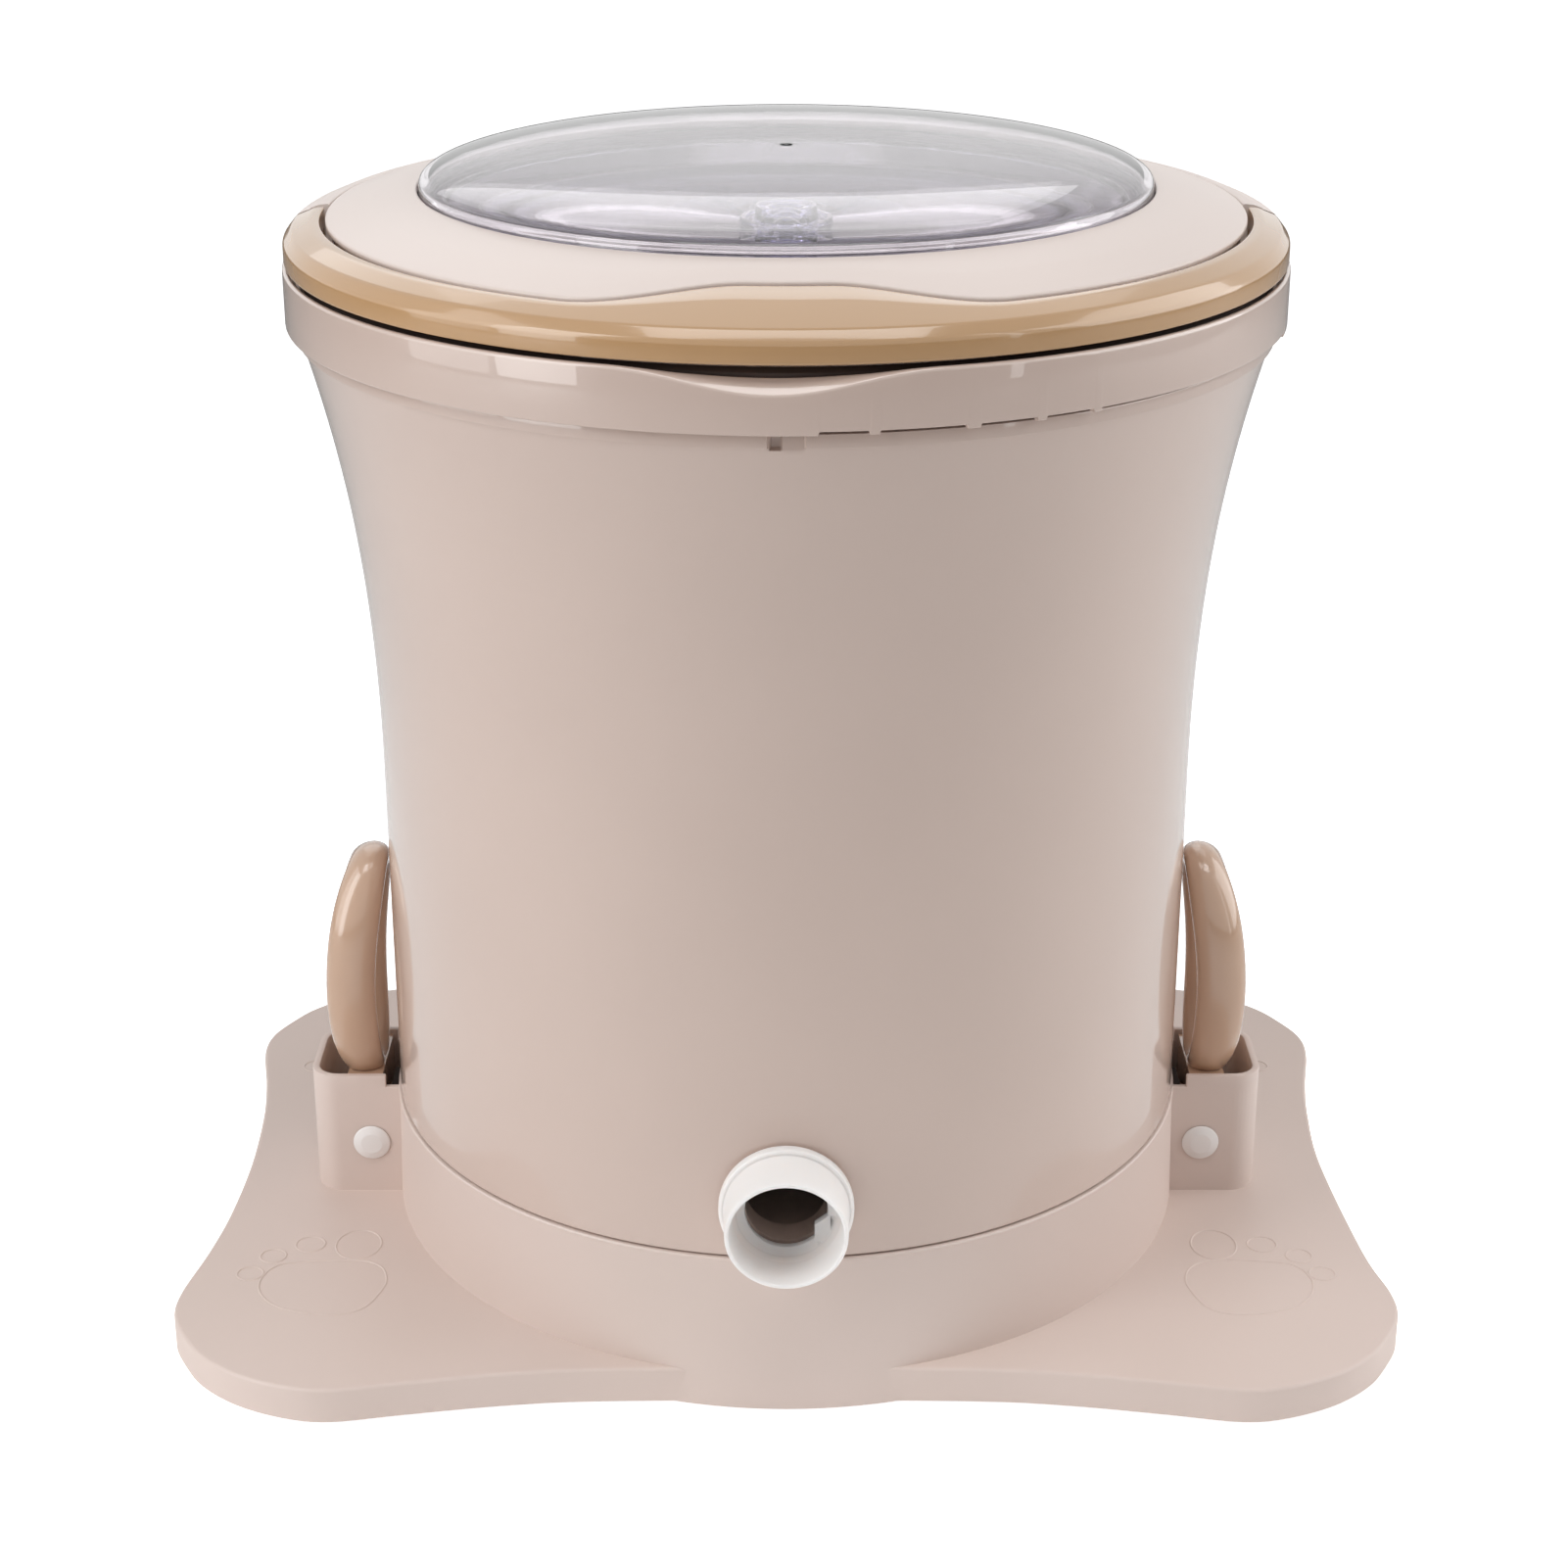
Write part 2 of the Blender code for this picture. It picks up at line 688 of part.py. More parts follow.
def latch_bracket(side):
    collar_inside = (collar_bore + collar_radius_top) / 2
    root = math.sqrt(collar_inside ** 2 - bracket_half_width ** 2)
    parts = []
    for label, start, low, high in (("low", root, plate_top - plate_wall / 2, bracket_top - bracket_step_drop),
                                    ("high", bracket_step_x, bracket_top - bracket_step_drop * 2, bracket_top)):
        outline = [(start, -bracket_half_width)]
        outer_corner = (bracket_outer_x - bracket_corner, bracket_half_width - bracket_corner)
        outline += arc((outer_corner[0], -outer_corner[1]), bracket_corner, -90 * degree, 0, 3)
        outline += arc(outer_corner, bracket_corner, 0, 90 * degree, 3)
        outline.append((start, bracket_half_width))
        inner = bracket_half_width - bracket_wall
        inner_round = bracket_corner - bracket_wall
        outline.append((start, inner))
        outline += arc(outer_corner, inner_round, 90 * degree, 0, 3)
        outline += arc((outer_corner[0], -outer_corner[1]), inner_round, 0, -90 * degree, 3)
        outline.append((start, -inner))
        outline = [(side * x, y) for x, y in outline]
        parts.append(prism(mirrored("bracket_" + label, side), outline, low, high, taupe))
    return parts


def build_foot_base():
    outline = plate_outline()
    levels = ((0, foot_drop), (0, plate_top - plate_edge_round), (plate_edge_round, plate_top))
    sections = [[(p.x, p.y, z) for p in inward(outline, inset)] for inset, z in levels]
    base = loft("foot_base", sections, taupe, closed=False)
    hollow = [(p.x, p.y) for p in inward(outline, plate_wall)]
    cut(base, prism("plate_hollow", hollow, -cut_overrun, plate_top - plate_wall, taupe))

    rib_top = plate_top - plate_wall / 2
    for side in (1, -1):
        y = side * rib_y_place_share * plate_half_depth
        reach = rib_x_reach_share * plate_half_width
        weld(base, box(mirrored("rib_along", side), (-reach, y - rib_thickness / 2, rib_bottom),
                       (reach, y + rib_thickness / 2, rib_top), taupe))

    collar = ((collar_radius_floor, foot_drop), (collar_radius_floor - (collar_radius_floor - collar_radius_top) / 2,
              plate_top), (collar_radius_top, collar_top), (collar_bore, collar_top), (collar_bore, foot_drop))
    weld(base, turned("collar", collar, taupe, large_steps))
    weld(base, rod_shape("rod_boss", rod_boss_radius, rib_bottom, rib_top, taupe))

    for side in (1, -1):
        for piece in latch_bracket(side):
            weld(base, piece)
        hole_reach = bracket_half_width + cut_overrun
        cut(base, rod_shape(mirrored("pin_hole", side), latch_pin_radius + seat_gap, -hole_reach, hole_reach, taupe,
                            "Y", (side * latch_pin_x, 0, latch_pin_z), 12))
        near, far = collar_bore - cut_overrun, collar_radius_floor + window_margin
        low, high = sorted((side * near, side * far))
        half = pad_half_width + window_margin
        cut(base, box(mirrored("pad_window", side), (low, -half, pad_bottom - window_margin),
                      (high, half, window_top), taupe))

    for x, y in foot_places():
        weld(base, rod_shape("foot_boss", foot_boss_radius, rib_bottom, rib_top, taupe, at=(x, y, 0),
                             steps=bead_steps))
        cut(base, rod_shape("foot_hole", foot_plug_radius + seat_gap, -cut_overrun,
                            rib_bottom + foot_plug_depth + seat_gap, taupe, at=(x, y, 0), steps=bead_steps))
    cut(base, rod_shape("shank_hole", rod_shank_radius + seat_gap, -cut_overrun, plate_top + cut_overrun, taupe))
    cut(base, rod_shape("nut_pocket", rod_pocket_radius, -cut_overrun, rod_pocket_top, taupe))
    for x, y in screw_places():
        cut(base, rod_shape("screw_hole", screw_radius + seat_gap, screw_tip_z - seat_gap, plate_top + cut_overrun,
                            taupe, at=(x, y, 0), steps=bead_steps))
    return base


def foot_places():
    x = foot_x_share * plate_half_width
    y = foot_y_share * plate_half_depth
    return ((x, -y), (x, y), (-x, y), (-x, -y))


def screw_places():
    return [(screw_circle * math.cos(angle), screw_circle * math.sin(angle))
            for angle in (screw_first_angle + i * math.tau / 3 for i in range(3))]


def build_rubber_feet():
    disc_top = rib_bottom - seat_gap
    plug_top = rib_bottom + foot_plug_depth
    profile = ((0, 0), (foot_radius, 0), (foot_radius, disc_top), (foot_plug_radius, disc_top),
               (foot_plug_radius, plug_top), (0, plug_top))
    for name, place in zip(("front_right", "rear_right", "rear_left", "front_left"), foot_places()):
        turned("rubber_foot_" + name, profile, rubber, bead_steps, at=(*place, 0))


def build_guide_tube():
    low = plate_top + seat_gap
    flange_top = low + guide_flange_height
    tube = turned("guide_tube", ((guide_bore, low), (guide_flange_radius, low), (guide_flange_radius, flange_top),
                                 (guide_radius, flange_top), (guide_radius, guide_top), (guide_bore, guide_top)), steel)
    for i, (x, y) in enumerate(screw_places()):
        cut(tube, rod_shape("flange_hole", screw_radius + seat_gap, low - cut_overrun, flange_top + cut_overrun, steel,
                            at=(x, y, 0), steps=bead_steps))
        head_low = flange_top + seat_gap
        head_top = head_low + screw_head_height
        turned("guide_screw_" + str(i + 1), ((0, screw_tip_z), (screw_radius, screw_tip_z), (screw_radius, head_low),
                                             (screw_head_radius, head_low), (screw_head_radius * 0.8, head_top),
                                             (0, head_top)), steel, bead_steps, at=(x, y, 0))


# Twisted rod and everything that it threads through

def square_ring(side, angle, z):
    """Eight points of a square: four corners and four edge middles."""
    half = side / 2
    spots = ((half, 0), (half, half), (0, half), (-half, half), (-half, 0), (-half, -half), (0, -half), (half, -half))
    return [(x * math.cos(angle) - y * math.sin(angle), x * math.sin(angle) + y * math.cos(angle), z)
            for x, y in spots]


def twist(z):
    return math.tau * z / rod_lead


def twisted_levels(low, high):
    count = max(2, round((high - low) / rod_lead * math.tau / rod_step_angle))
    return [low + (high - low) * i / count for i in range(count + 1)]


def build_drive_rod():
    shoulder_low = plate_top + seat_gap
    shoulder_top = shoulder_low + rod_shoulder_height
    foot = turned("rod_foot", ((0, rod_shank_bottom), (rod_shank_radius, rod_shank_bottom),
                               (rod_shank_radius, shoulder_low), (rod_shoulder_radius, shoulder_low),
                               (rod_shoulder_radius, shoulder_top), (rod_plain_radius, shoulder_top),
                               (rod_plain_radius, rod_plain_top), (0, rod_plain_top)), steel)
    levels = twisted_levels(rod_plain_top - rod_twist_overlap, rod_top)
    rod = loft("drive_rod", [square_ring(rod_side, twist(z), z) for z in levels], steel, closed=False)
    weld(rod, foot)
    washer_top = rod_pocket_top - seat_gap
    washer_low = washer_top - rod_washer_height
    bore = rod_shank_radius + seat_gap
    turned("rod_washer", ((bore, washer_low), (rod_washer_radius, washer_low), (rod_washer_radius, washer_top),
                          (bore, washer_top)), steel)
    nut_top = washer_low - seat_gap
    nut_low = nut_top - rod_nut_height
    turned_nut = [[(r * math.cos(a), r * math.sin(a), z) for a in [i * math.tau / 6 for i in range(6)]]
                  for r, z in ((rod_nut_radius, nut_low), (rod_nut_radius, nut_top))]
    nut = loft("rod_nut", turned_nut, steel, closed=False)
    cut(nut, rod_shape("rod_nut_bore", bore, nut_low - cut_overrun, nut_top + cut_overrun, steel))


def build_drive_nut():
    """Its bore is twisted like the rod, so it turns as the barrel rises."""
    nut = turned("drive_nut", ((0, nut_bottom), (nut_flange_radius, nut_bottom), (nut_flange_radius, nut_flange_top),
                               (nut_radius, nut_flange_top), (nut_radius, nut_top), (0, nut_top)), brass)
    levels = twisted_levels(nut_bottom - cut_overrun, nut_top + cut_overrun)
    bore_side = rod_side + 2 * running_gap
    bore = loft("nut_bore", [square_ring(bore_side, twist(z), z) for z in levels], brass, closed=False)
    return cut(nut, bore)


def build_clutch_and_shaft():
    clutch = turned("one_way_clutch", ((clutch_bore, clutch_bottom), (clutch_radius, clutch_bottom),
                                       (clutch_radius, clutch_top), (clutch_bore, clutch_top)), steel)
    circlip = turned("clutch_circlip", ((circlip_bore, circlip_bottom), (clutch_radius, circlip_bottom),
                                        (clutch_radius, circlip_top), (circlip_bore, circlip_top)), steel)
    shaft = turned("basket_shaft", ((shaft_bore, shaft_bottom), (shaft_radius, shaft_bottom),
                                    (shaft_radius, shaft_flange_bottom), (shaft_flange_radius, shaft_flange_bottom),
                                    (shaft_flange_radius, shaft_flange_top), (shaft_throat, shaft_flange_top),
                                    (shaft_throat, shaft_throat_z), (shaft_bore, shaft_throat_z)), steel)
    return [clutch, circlip, shaft]


# Outer barrel

def barrel_outside(z):
    share = max(0.0, (z - flare_start) / (ledge_bottom - flare_start))
    return barrel_radius + flare_gain * share ** flare_power


def barrel_inside(z):
    return barrel_outside(z) - barrel_wall


def flare_levels(shares):
    return [flare_start + share * (ledge_bottom - flare_start) for share in shares]


def build_barrel():
    ledge_radius = barrel_outside(ledge_bottom) + ledge_depth
    neck_wall = neck_radius - barrel_wall
    skirt_bore = skirt_radius - barrel_wall
    outside = [(skirt_radius, skirt_bottom), (skirt_radius, barrel_shoulder_z),
               (barrel_radius, barrel_shoulder_z)]
    outside += [(barrel_outside(z), z) for z in flare_levels(flare_row_shares)]
    outside += [(ledge_radius, ledge_bottom), (ledge_radius, ledge_top), (neck_radius, ledge_top),
                (neck_radius, neck_top), (neck_wall, neck_top)]
    inside = [(barrel_inside(z), z) for z in flare_levels(flare_inner_row_shares)]
    inside += [(barrel_radius - barrel_wall, floor_top + barrel_wall), (skirt_bore, floor_top),
               (floor_hole, floor_top), (floor_hole, floor_bottom), (skirt_bore, floor_bottom),
               (skirt_bore, skirt_bottom)]
    barrel = turned("outer_barrel", outside + inside, taupe, large_steps)
    weld(barrel, rod_shape("spout_boss", spout_boss_radius, -spout_boss_face, -spout_boss_back, taupe, "Y",
                           (0, 0, spout_z)))
    cut(barrel, rod_shape("spout_hole", spigot_radius + seat_gap, -spout_mouth_y, -spout_boss_back + cut_overrun,
                          taupe, "Y", (0, 0, spout_z), spout_steps))
    cut(barrel, box("ledge_gap", (-ledge_gap_left, -rim_radius, ledge_bottom - ledge_depth),
                    (ledge_gap_right, -(neck_radius + seat_gap / 2), ledge_top + seat_gap / 2),
                    taupe))
    return barrel


def build_spout():
    """Turned about -Y: heights along the axis are y values."""
    profile = ((spigot_radius, -spigot_end_y), (spout_bore, -spigot_end_y),
               (spout_mouth_bore, -spout_mouth_y),
               (spout_mouth_radius, -spout_mouth_y), (spout_root_radius, -spout_flange_front),
               (spout_flange_radius, -spout_flange_front), (spout_flange_radius, -spout_boss_face - seat_gap),
               (spigot_radius, -spout_boss_face - seat_gap), (spigot_radius, -seal_groove_y - seal_groove_width),
               (seal_groove_radius, -seal_groove_y - seal_groove_width), (seal_groove_radius, -seal_groove_y),
               (spigot_radius, -seal_groove_y))
    spout = turned("drain_spout", profile, white, spout_steps, "Y", (0, 0, spout_z))
    low, high = -seal_groove_y - seal_groove_width + seat_gap, -seal_groove_y - seat_gap
    inner, outer = seal_groove_radius + seat_gap / 2, spigot_radius + seat_gap / 2
    seal = turned("spout_seal", ((inner, low), (outer, low), (outer, high), (inner, high)), rubber, spout_steps, "Y",
                  (0, 0, spout_z))
    return [spout, seal]


def build_housing():
    low = floor_top + housing_gasket_height + 2 * seat_gap
    flange_top = low + housing_flange_height
    profile = ((bush_radius + seat_gap, floor_bottom), (housing_radius, floor_bottom), (housing_radius, low),
               (housing_flange_radius, low), (housing_flange_radius, flange_top),
               (housing_radius + housing_fillet, flange_top), (housing_radius, flange_top + housing_fillet),
               (housing_radius, housing_top), (race_outer_radius + seat_gap, housing_top),
               (race_outer_radius + seat_gap, lower_race_z - seat_gap), (housing_waist, lower_race_z - seat_gap),
               (housing_waist, bush_top + seat_gap), (bush_radius + seat_gap, bush_top + seat_gap))
    housing = turned("hub_housing", profile, white)
    gasket_low = floor_top + seat_gap
    gasket = turned("hub_gasket", ((floor_hole, gasket_low), (housing_flange_radius, gasket_low),
                                   (housing_flange_radius, gasket_low + housing_gasket_height),
                                   (floor_hole, gasket_low + housing_gasket_height)), rubber)
    bush_bore = guide_radius + running_gap
    bush = turned("guide_bush", ((bush_bore, floor_bottom), (bush_radius, floor_bottom), (bush_radius, bush_top),
                                 (bush_bore, bush_top)), nylon)
    return [housing, gasket, bush]


def race(name, inner, outer, low):
    high = low + race_height
    return turned(name, ((inner, low), (outer, low), (outer, high), (inner, high)), steel)


def ball_ring(name, low):
    """A cage that swells into a ball at regular places round the ring."""
    middle = low + race_height / 2
    sections = []
    for i in range(ball_count * ball_steps):
        angle = (i + 0.5) * math.tau / (ball_count * ball_steps)
        size = cage_radius if i % ball_steps else ball_radius
        diamond = ((ball_circle - size, middle), (ball_circle, middle - size), (ball_circle + size, middle),
                   (ball_circle, middle + size))
        sections.append(around(diamond, angle))
    return loft(name, sections, steel, closed=True)


def build_bearings():
    fixed = [race("lower_bearing_outer", race_outer_bore, race_outer_radius, lower_race_z),
             race("upper_bearing_outer", race_outer_bore, race_outer_radius, upper_race_z)]
    spacer_low = lower_race_z + race_height + seat_gap
    spacer_high = upper_race_z - seat_gap
    fixed.append(turned("bearing_spacer", ((spacer_bore, spacer_low), (race_outer_radius, spacer_low),
                                           (race_outer_radius, spacer_high), (spacer_bore, spacer_high)), steel))
    cap_low = housing_top + seat_gap
    cap_top = cap_low + cap_height
    spigot = race_outer_radius
    fixed.append(turned("bearing_cap", ((cap_bore, cap_top), (cap_bore, cap_low - cap_spigot_drop),
                                        (spigot, cap_low - cap_spigot_drop), (spigot, cap_low),
                                        (housing_radius, cap_low), (housing_radius, cap_top)), white))
    seal_bore = shaft_radius + shaft_seal_gap
    seal_outside = cap_bore - seat_gap
    fixed.append(turned("shaft_seal", ((seal_bore, shaft_seal_bottom), (seal_outside, shaft_seal_bottom),
                                       (seal_outside, shaft_seal_top), (seal_bore, shaft_seal_top)), rubber))
    turning = [race("lower_bearing_inner", race_inner_bore, race_inner_radius, lower_race_z),
               race("upper_bearing_inner", race_inner_bore, race_inner_radius, upper_race_z),
               ball_ring("lower_ball_ring", lower_race_z), ball_ring("upper_ball_ring", upper_race_z)]
    return fixed, turning


# Basket: a turned shell with slots through its wall

def basket_outside(z):
    return barrel_inside(z) - basket_gap


def slot_levels():
    levels = []
    for row in range(slot_rows):
        low = slot_first_z + row * (slot_height + slot_web)
        levels.append((low, low + slot_height))
    return levels


def build_basket_floor():
    low, high = basket_floor_bottom, basket_floor_bottom + basket_floor_wall
    rim_z = basket_floor_bottom + basket_corner
    rim = basket_outside(rim_z)
    profile = ((basket_floor_hole, low), (rim - basket_corner, low), (rim, rim_z), (rim - basket_wall, rim_z),
               (rim - basket_corner, high), (basket_floor_hole, high))
    return turned("basket_floor", profile, white, large_steps)


def build_basket():
    drum_low = basket_floor_bottom + basket_corner + seat_gap
    rows = [z for pair in slot_levels() for z in pair]
    outside = [(basket_outside(drum_low), drum_low)]
    outside += [(basket_outside(z), z) for z in rows]
    lip_z = basket_top - basket_lip
    outside += [(basket_outside(lip_z), lip_z), (basket_outside(lip_z) + basket_lip, lip_z),
                (basket_outside(lip_z) + basket_lip, basket_top)]
    inside = [(basket_outside(basket_top) - basket_wall, basket_top)]
    inside += [(basket_outside(z) - basket_wall, z) for z in reversed(rows)]
    inside += [(basket_outside(drum_low) - basket_wall, drum_low)]
    profile = outside + inside
    pitch = math.tau / basket_columns
    angles = [pitch * (i + edge) for i in range(basket_columns) for edge in (0, slot_share)]
    count = len(profile)
    points = [(r * math.cos(a), r * math.sin(a), z) for a in angles for r, z in profile]

    def ring_of(level):
        return profile.index(level)

    slots = [(ring_of((basket_outside(low), low)), ring_of((basket_outside(low) - basket_wall, low)))
             for low, high in slot_levels()]
    open_rows = {outer for outer, inner in slots} | {inner - 1 for outer, inner in slots}
    faces = []
    for i in range(len(angles)):
        here, there = i * count, ((i + 1) % len(angles)) * count
        for j in range(count):
            k = (j + 1) % count
            if i % 2 == 0 and j in open_rows:
                continue
            faces.append((here + j, here + k, there + k, there + j))
        if i % 2:
            continue
        for outer, inner in slots:
            o0, o1, n0, n1 = outer, outer + 1, inner, inner - 1
            faces.append((here + o0, here + n0, there + n0, there + o0))
            faces.append((here + o1, here + n1, there + n1, there + o1))
            faces.append((here + o0, here + o1, here + n1, here + n0))
            faces.append((there + o0, there + o1, there + n1, there + n0))
    return add_object("basket", mesh_of("basket", points, faces), white)


def build_column():
    low = basket_floor_bottom + basket_floor_wall + seat_gap
    flange_top = low + column_flange_height
    shelf_top = column_shelf_bottom + column_shelf_height
    profile = ((column_foot_bore, low), (column_flange_radius, low), (column_flange_radius, flange_top),
               (column_foot_radius, flange_top), (column_waist_radius + (column_foot_radius - column_waist_radius) * 0.3,
               (flange_top + column_shelf_bottom) / 2), (column_waist_radius, column_shelf_bottom),
               (column_waist_radius * 0.93, shelf_top + column_shelf_height * 0.6),
               ((column_waist_radius + column_neck_radius) / 2, column_neck_z - column_shelf_height * 0.7),
               (column_neck_radius, column_neck_z), (column_top_radius, column_bore_top),
               (column_top_radius * 0.9, column_top), (spindle_radius + seat_gap, column_top),
               (spindle_radius + seat_gap, spindle_stud_bottom - seat_gap), (0, spindle_stud_bottom - seat_gap),
               (0, column_bore_top), (column_bore, column_bore_top), (column_bore, column_shelf_bottom),
               (column_bell_bore, column_shelf_bottom),
               (column_bell_bore, (flange_top + column_shelf_bottom) / 2))
    return turned("centre_column", profile, white)


def build_spindle():
    low = column_top + seat_gap
    high = low + spindle_flange_height
    profile = ((0, spindle_stud_bottom), (spindle_radius, spindle_stud_bottom), (spindle_radius, low),
               (spindle_flange_radius, low), (spindle_flange_radius, high), (spindle_radius, high),
               (spindle_radius, spindle_top - spindle_taper), (spindle_tip_radius, spindle_top), (0, spindle_top))
    return turned("top_spindle", profile, steel, 16)


# Rim ring with its scoop and the ears that carry the bail

def build_rim_ring():
    profile = ((rim_radius, rim_bottom), (rim_radius, rim_top - rim_edge_round),
               (rim_radius - rim_edge_round, rim_top), (rim_mouth_radius, rim_top),
               (rim_mouth_radius, rim_top - rim_wall), (rim_shoulder_radius, rim_top - rim_wall),
               (rim_shoulder_radius, rim_shoulder_z), (rim_radius - rim_wall, rim_shoulder_z),
               (rim_radius - rim_wall, rim_bottom))
    rim = turned("rim_ring", profile, taupe, large_steps)
    slope = math.atan2(scoop_drop, scoop_reach)
    scoop = rod_shape("scoop", scoop_radius, -scoop_radius, scoop_radius, taupe, "Y", steps=64)
    scoop.rotation_euler = (slope, 0, 0)
    lowest = Vector((0, -(rim_radius - scoop_reach), rim_top))
    lift = Vector((0, -math.sin(slope), math.cos(slope)))
    scoop.location = lowest + lift * scoop_radius
    cut(rim, scoop)
    for side in (1, -1):
        low, high = sorted((side * bail_ear_inner_x, side * bail_ear_outer_x))
        base_z = rim_top - rim_wall
        outline = [(-bail_pivot_setback - bail_ear_radius, base_z), (-bail_pivot_setback + bail_ear_radius, base_z)]
        outline += arc((-bail_pivot_setback, bail_pivot_z), bail_ear_radius, 0, 180 * degree, 6)
        weld(rim, prism(mirrored("bail_ear", side), outline, low, high, taupe, "X"))
        cut(rim, rod_shape(mirrored("ear_hole", side), bail_pin_radius + seat_gap, low - cut_overrun / 2,
                           high + cut_overrun / 2, taupe, "X", (0, -bail_pivot_setback, bail_pivot_z),
                           bead_steps))
    return rim


def build_bail_pins():
    pins = []
    for side in (1, -1):
        low, high = sorted((side * bail_pin_inner_x, side * bail_pin_outer_x))
        pins.append(rod_shape(mirrored("bail_pin", side), bail_pin_radius, low, high, steel, "X",
                              (0, -bail_pivot_setback, bail_pivot_z), bead_steps))
    return pins


# The ring that closes the top: bail in front, rear cover behind

def top_height(radius):
    return dome_hole_z - top_slope * (radius - dome_hole)


def grip_reach(angle):
    """How far the grip runs inward, by the angle from the front of the ring."""
    return grip_depth * smooth((grip_wave_angle - abs(angle)) / (grip_wave_angle - grip_flat_angle))


def ring_profile(bore, bottom):
    mid = bail_radius - bail_round_mid_inset
    mid_z = top_height(bail_round_radius) - bail_round_mid_drop
    return ((bail_radius, bottom), (bail_radius, bail_side_top), (mid, mid_z),
            (bail_round_radius, top_height(bail_round_radius)),
            (bore + bail_lip_round, top_height(bore + bail_lip_round)), (bore, top_height(bore) - bail_lip_round),
            (bore, bottom), (bore + bail_wall, bottom), (bore + bail_wall, top_height(bore) - bail_wall),
            (bail_round_radius - bail_wall * 0.4, top_height(bail_round_radius) - bail_wall),
            (bail_radius - bail_wall, bail_side_top - bail_wall * 0.6), (bail_radius - bail_wall, bottom))


def ring_angles(start, end):
    """The facet angles between two angles, three times as close where the grip's wave runs."""
    step = math.tau / large_steps
    spots = {round(start / step * grip_steps, 6), round(end / step * grip_steps, 6)}
    front = -large_steps / 4 * grip_steps
    wave = math.ceil(grip_wave_angle / step) * grip_steps
    for spot in range(math.ceil(start / step * grip_steps), math.floor(end / step * grip_steps) + 1):
        if spot % grip_steps == 0 or abs(spot - front) < wave:
            spots.add(spot)
    return [spot / grip_steps * step for spot in sorted(spots)]


def around(profile, angle):
    return [(r * math.cos(angle), r * math.sin(angle), z) for r, z in profile]


def build_bail():
    sections = []
    for angle in ring_angles(-math.pi, 0):
        bore = bail_bore - grip_reach(angle + math.pi / 2)
        sections.append(around(ring_profile(bore, bail_bottom), angle))
    bail = loft("bail_handle", sections, tan, closed=False)
    for side in (1, -1):
        low, high = sorted((side * (bail_bore - cut_overrun), side * (bail_radius + cut_overrun)))
        outline = ((cut_overrun, bail_bottom + bail_end_chamfer_height + bail_end_chamfer_height / bail_end_chamfer_depth
                    * cut_overrun), (-bail_end_chamfer_depth - bail_end_chamfer_depth / bail_end_chamfer_height
                    * cut_overrun, bail_bottom - cut_overrun), (cut_overrun, bail_bottom - cut_overrun))
        cut(bail, prism(mirrored("bail_end_chamfer", side), outline, low, high, tan, "X"))
        low, high = sorted((side * (bail_bore - cut_overrun), side * (bail_pin_outer_x + seat_gap)))
        cut(bail, rod_shape(mirrored("bail_pin_hole", side), bail_pin_radius + running_gap, low, high, tan, "X",
                            (0, -bail_pivot_setback, bail_pivot_z), bead_steps))
    cover_sections = []
    for angle in ring_angles(-math.pi + bail_cover_start_angle, -bail_cover_start_angle):
        inner = bail_bore - grip_reach(angle + math.pi / 2) + bail_wall + seat_gap
        outer = bail_radius - bail_wall - seat_gap
        low = bail_bottom + seat_gap
        high = low + bail_cover_height
        cover_sections.append(around(((inner, low), (outer, low), (outer, high), (inner, high)), angle))
    cover = loft("bail_underside_cover", cover_sections, tan, closed=False)
    return [bail, cover]


def build_rear_cover():
    start = math.asin(rear_cover_gap / rear_cover_bore)
    sections = [around(ring_profile(rear_cover_bore, rear_cover_bottom), angle)
                for angle in ring_angles(start, math.pi - start)]
    cover = loft("rear_cover", sections, blush, closed=False)
    block_low = rear_cover_bottom + seat_gap
    block_root = rear_cover_bore + bail_wall / 2
    reach = math.asin(hinge_block_half / block_root)
    outline = arc((0, 0), block_root, math.pi / 2 - reach, math.pi / 2 + reach, 4)
    outline += [(-hinge_block_half, notch_outer_y), (hinge_block_half, notch_outer_y)]
    weld(cover, prism("hinge_block", outline, block_low, hinge_block_top, blush))
    cut(cover, box("hinge_notch", (-notch_half, rear_cover_bore * 0.9, notch_floor),
                   (notch_half, notch_outer_y, top_height(dome_hole)), blush))
    cut(cover, rod_shape("hinge_pin_hole", hinge_pin_radius + seat_gap, -hinge_pin_half - seat_gap,
                         hinge_pin_half + seat_gap, blush, "X", (0, hinge_y, hinge_z), 16))
    cut(cover, rod_shape("bail_end_sweep", rear_sweep_radius, -rim_radius, rim_radius, blush, "X",
                         (0, -bail_pivot_setback, bail_pivot_z), 32))
    for side in (1, -1):
        near, far = rear_cover_bore - cut_overrun, rear_cover_bore + rear_sweep_notch_width
        low, high = sorted((side * near, side * far))
        notch_low = bail_pivot_z + rear_sweep_notch_rise
        cut(cover, box(mirrored("bail_top_sweep", side), (low, -bail_pivot_setback, notch_low),
                       (high, -bail_pivot_setback + rear_sweep_notch, top_height(dome_hole)), blush))
    pin = rod_shape("lid_hinge_pin", hinge_pin_radius, -hinge_pin_half, hinge_pin_half, steel, "X",
                    (0, hinge_y, hinge_z), 16)
    return [cover, pin]


# Lid

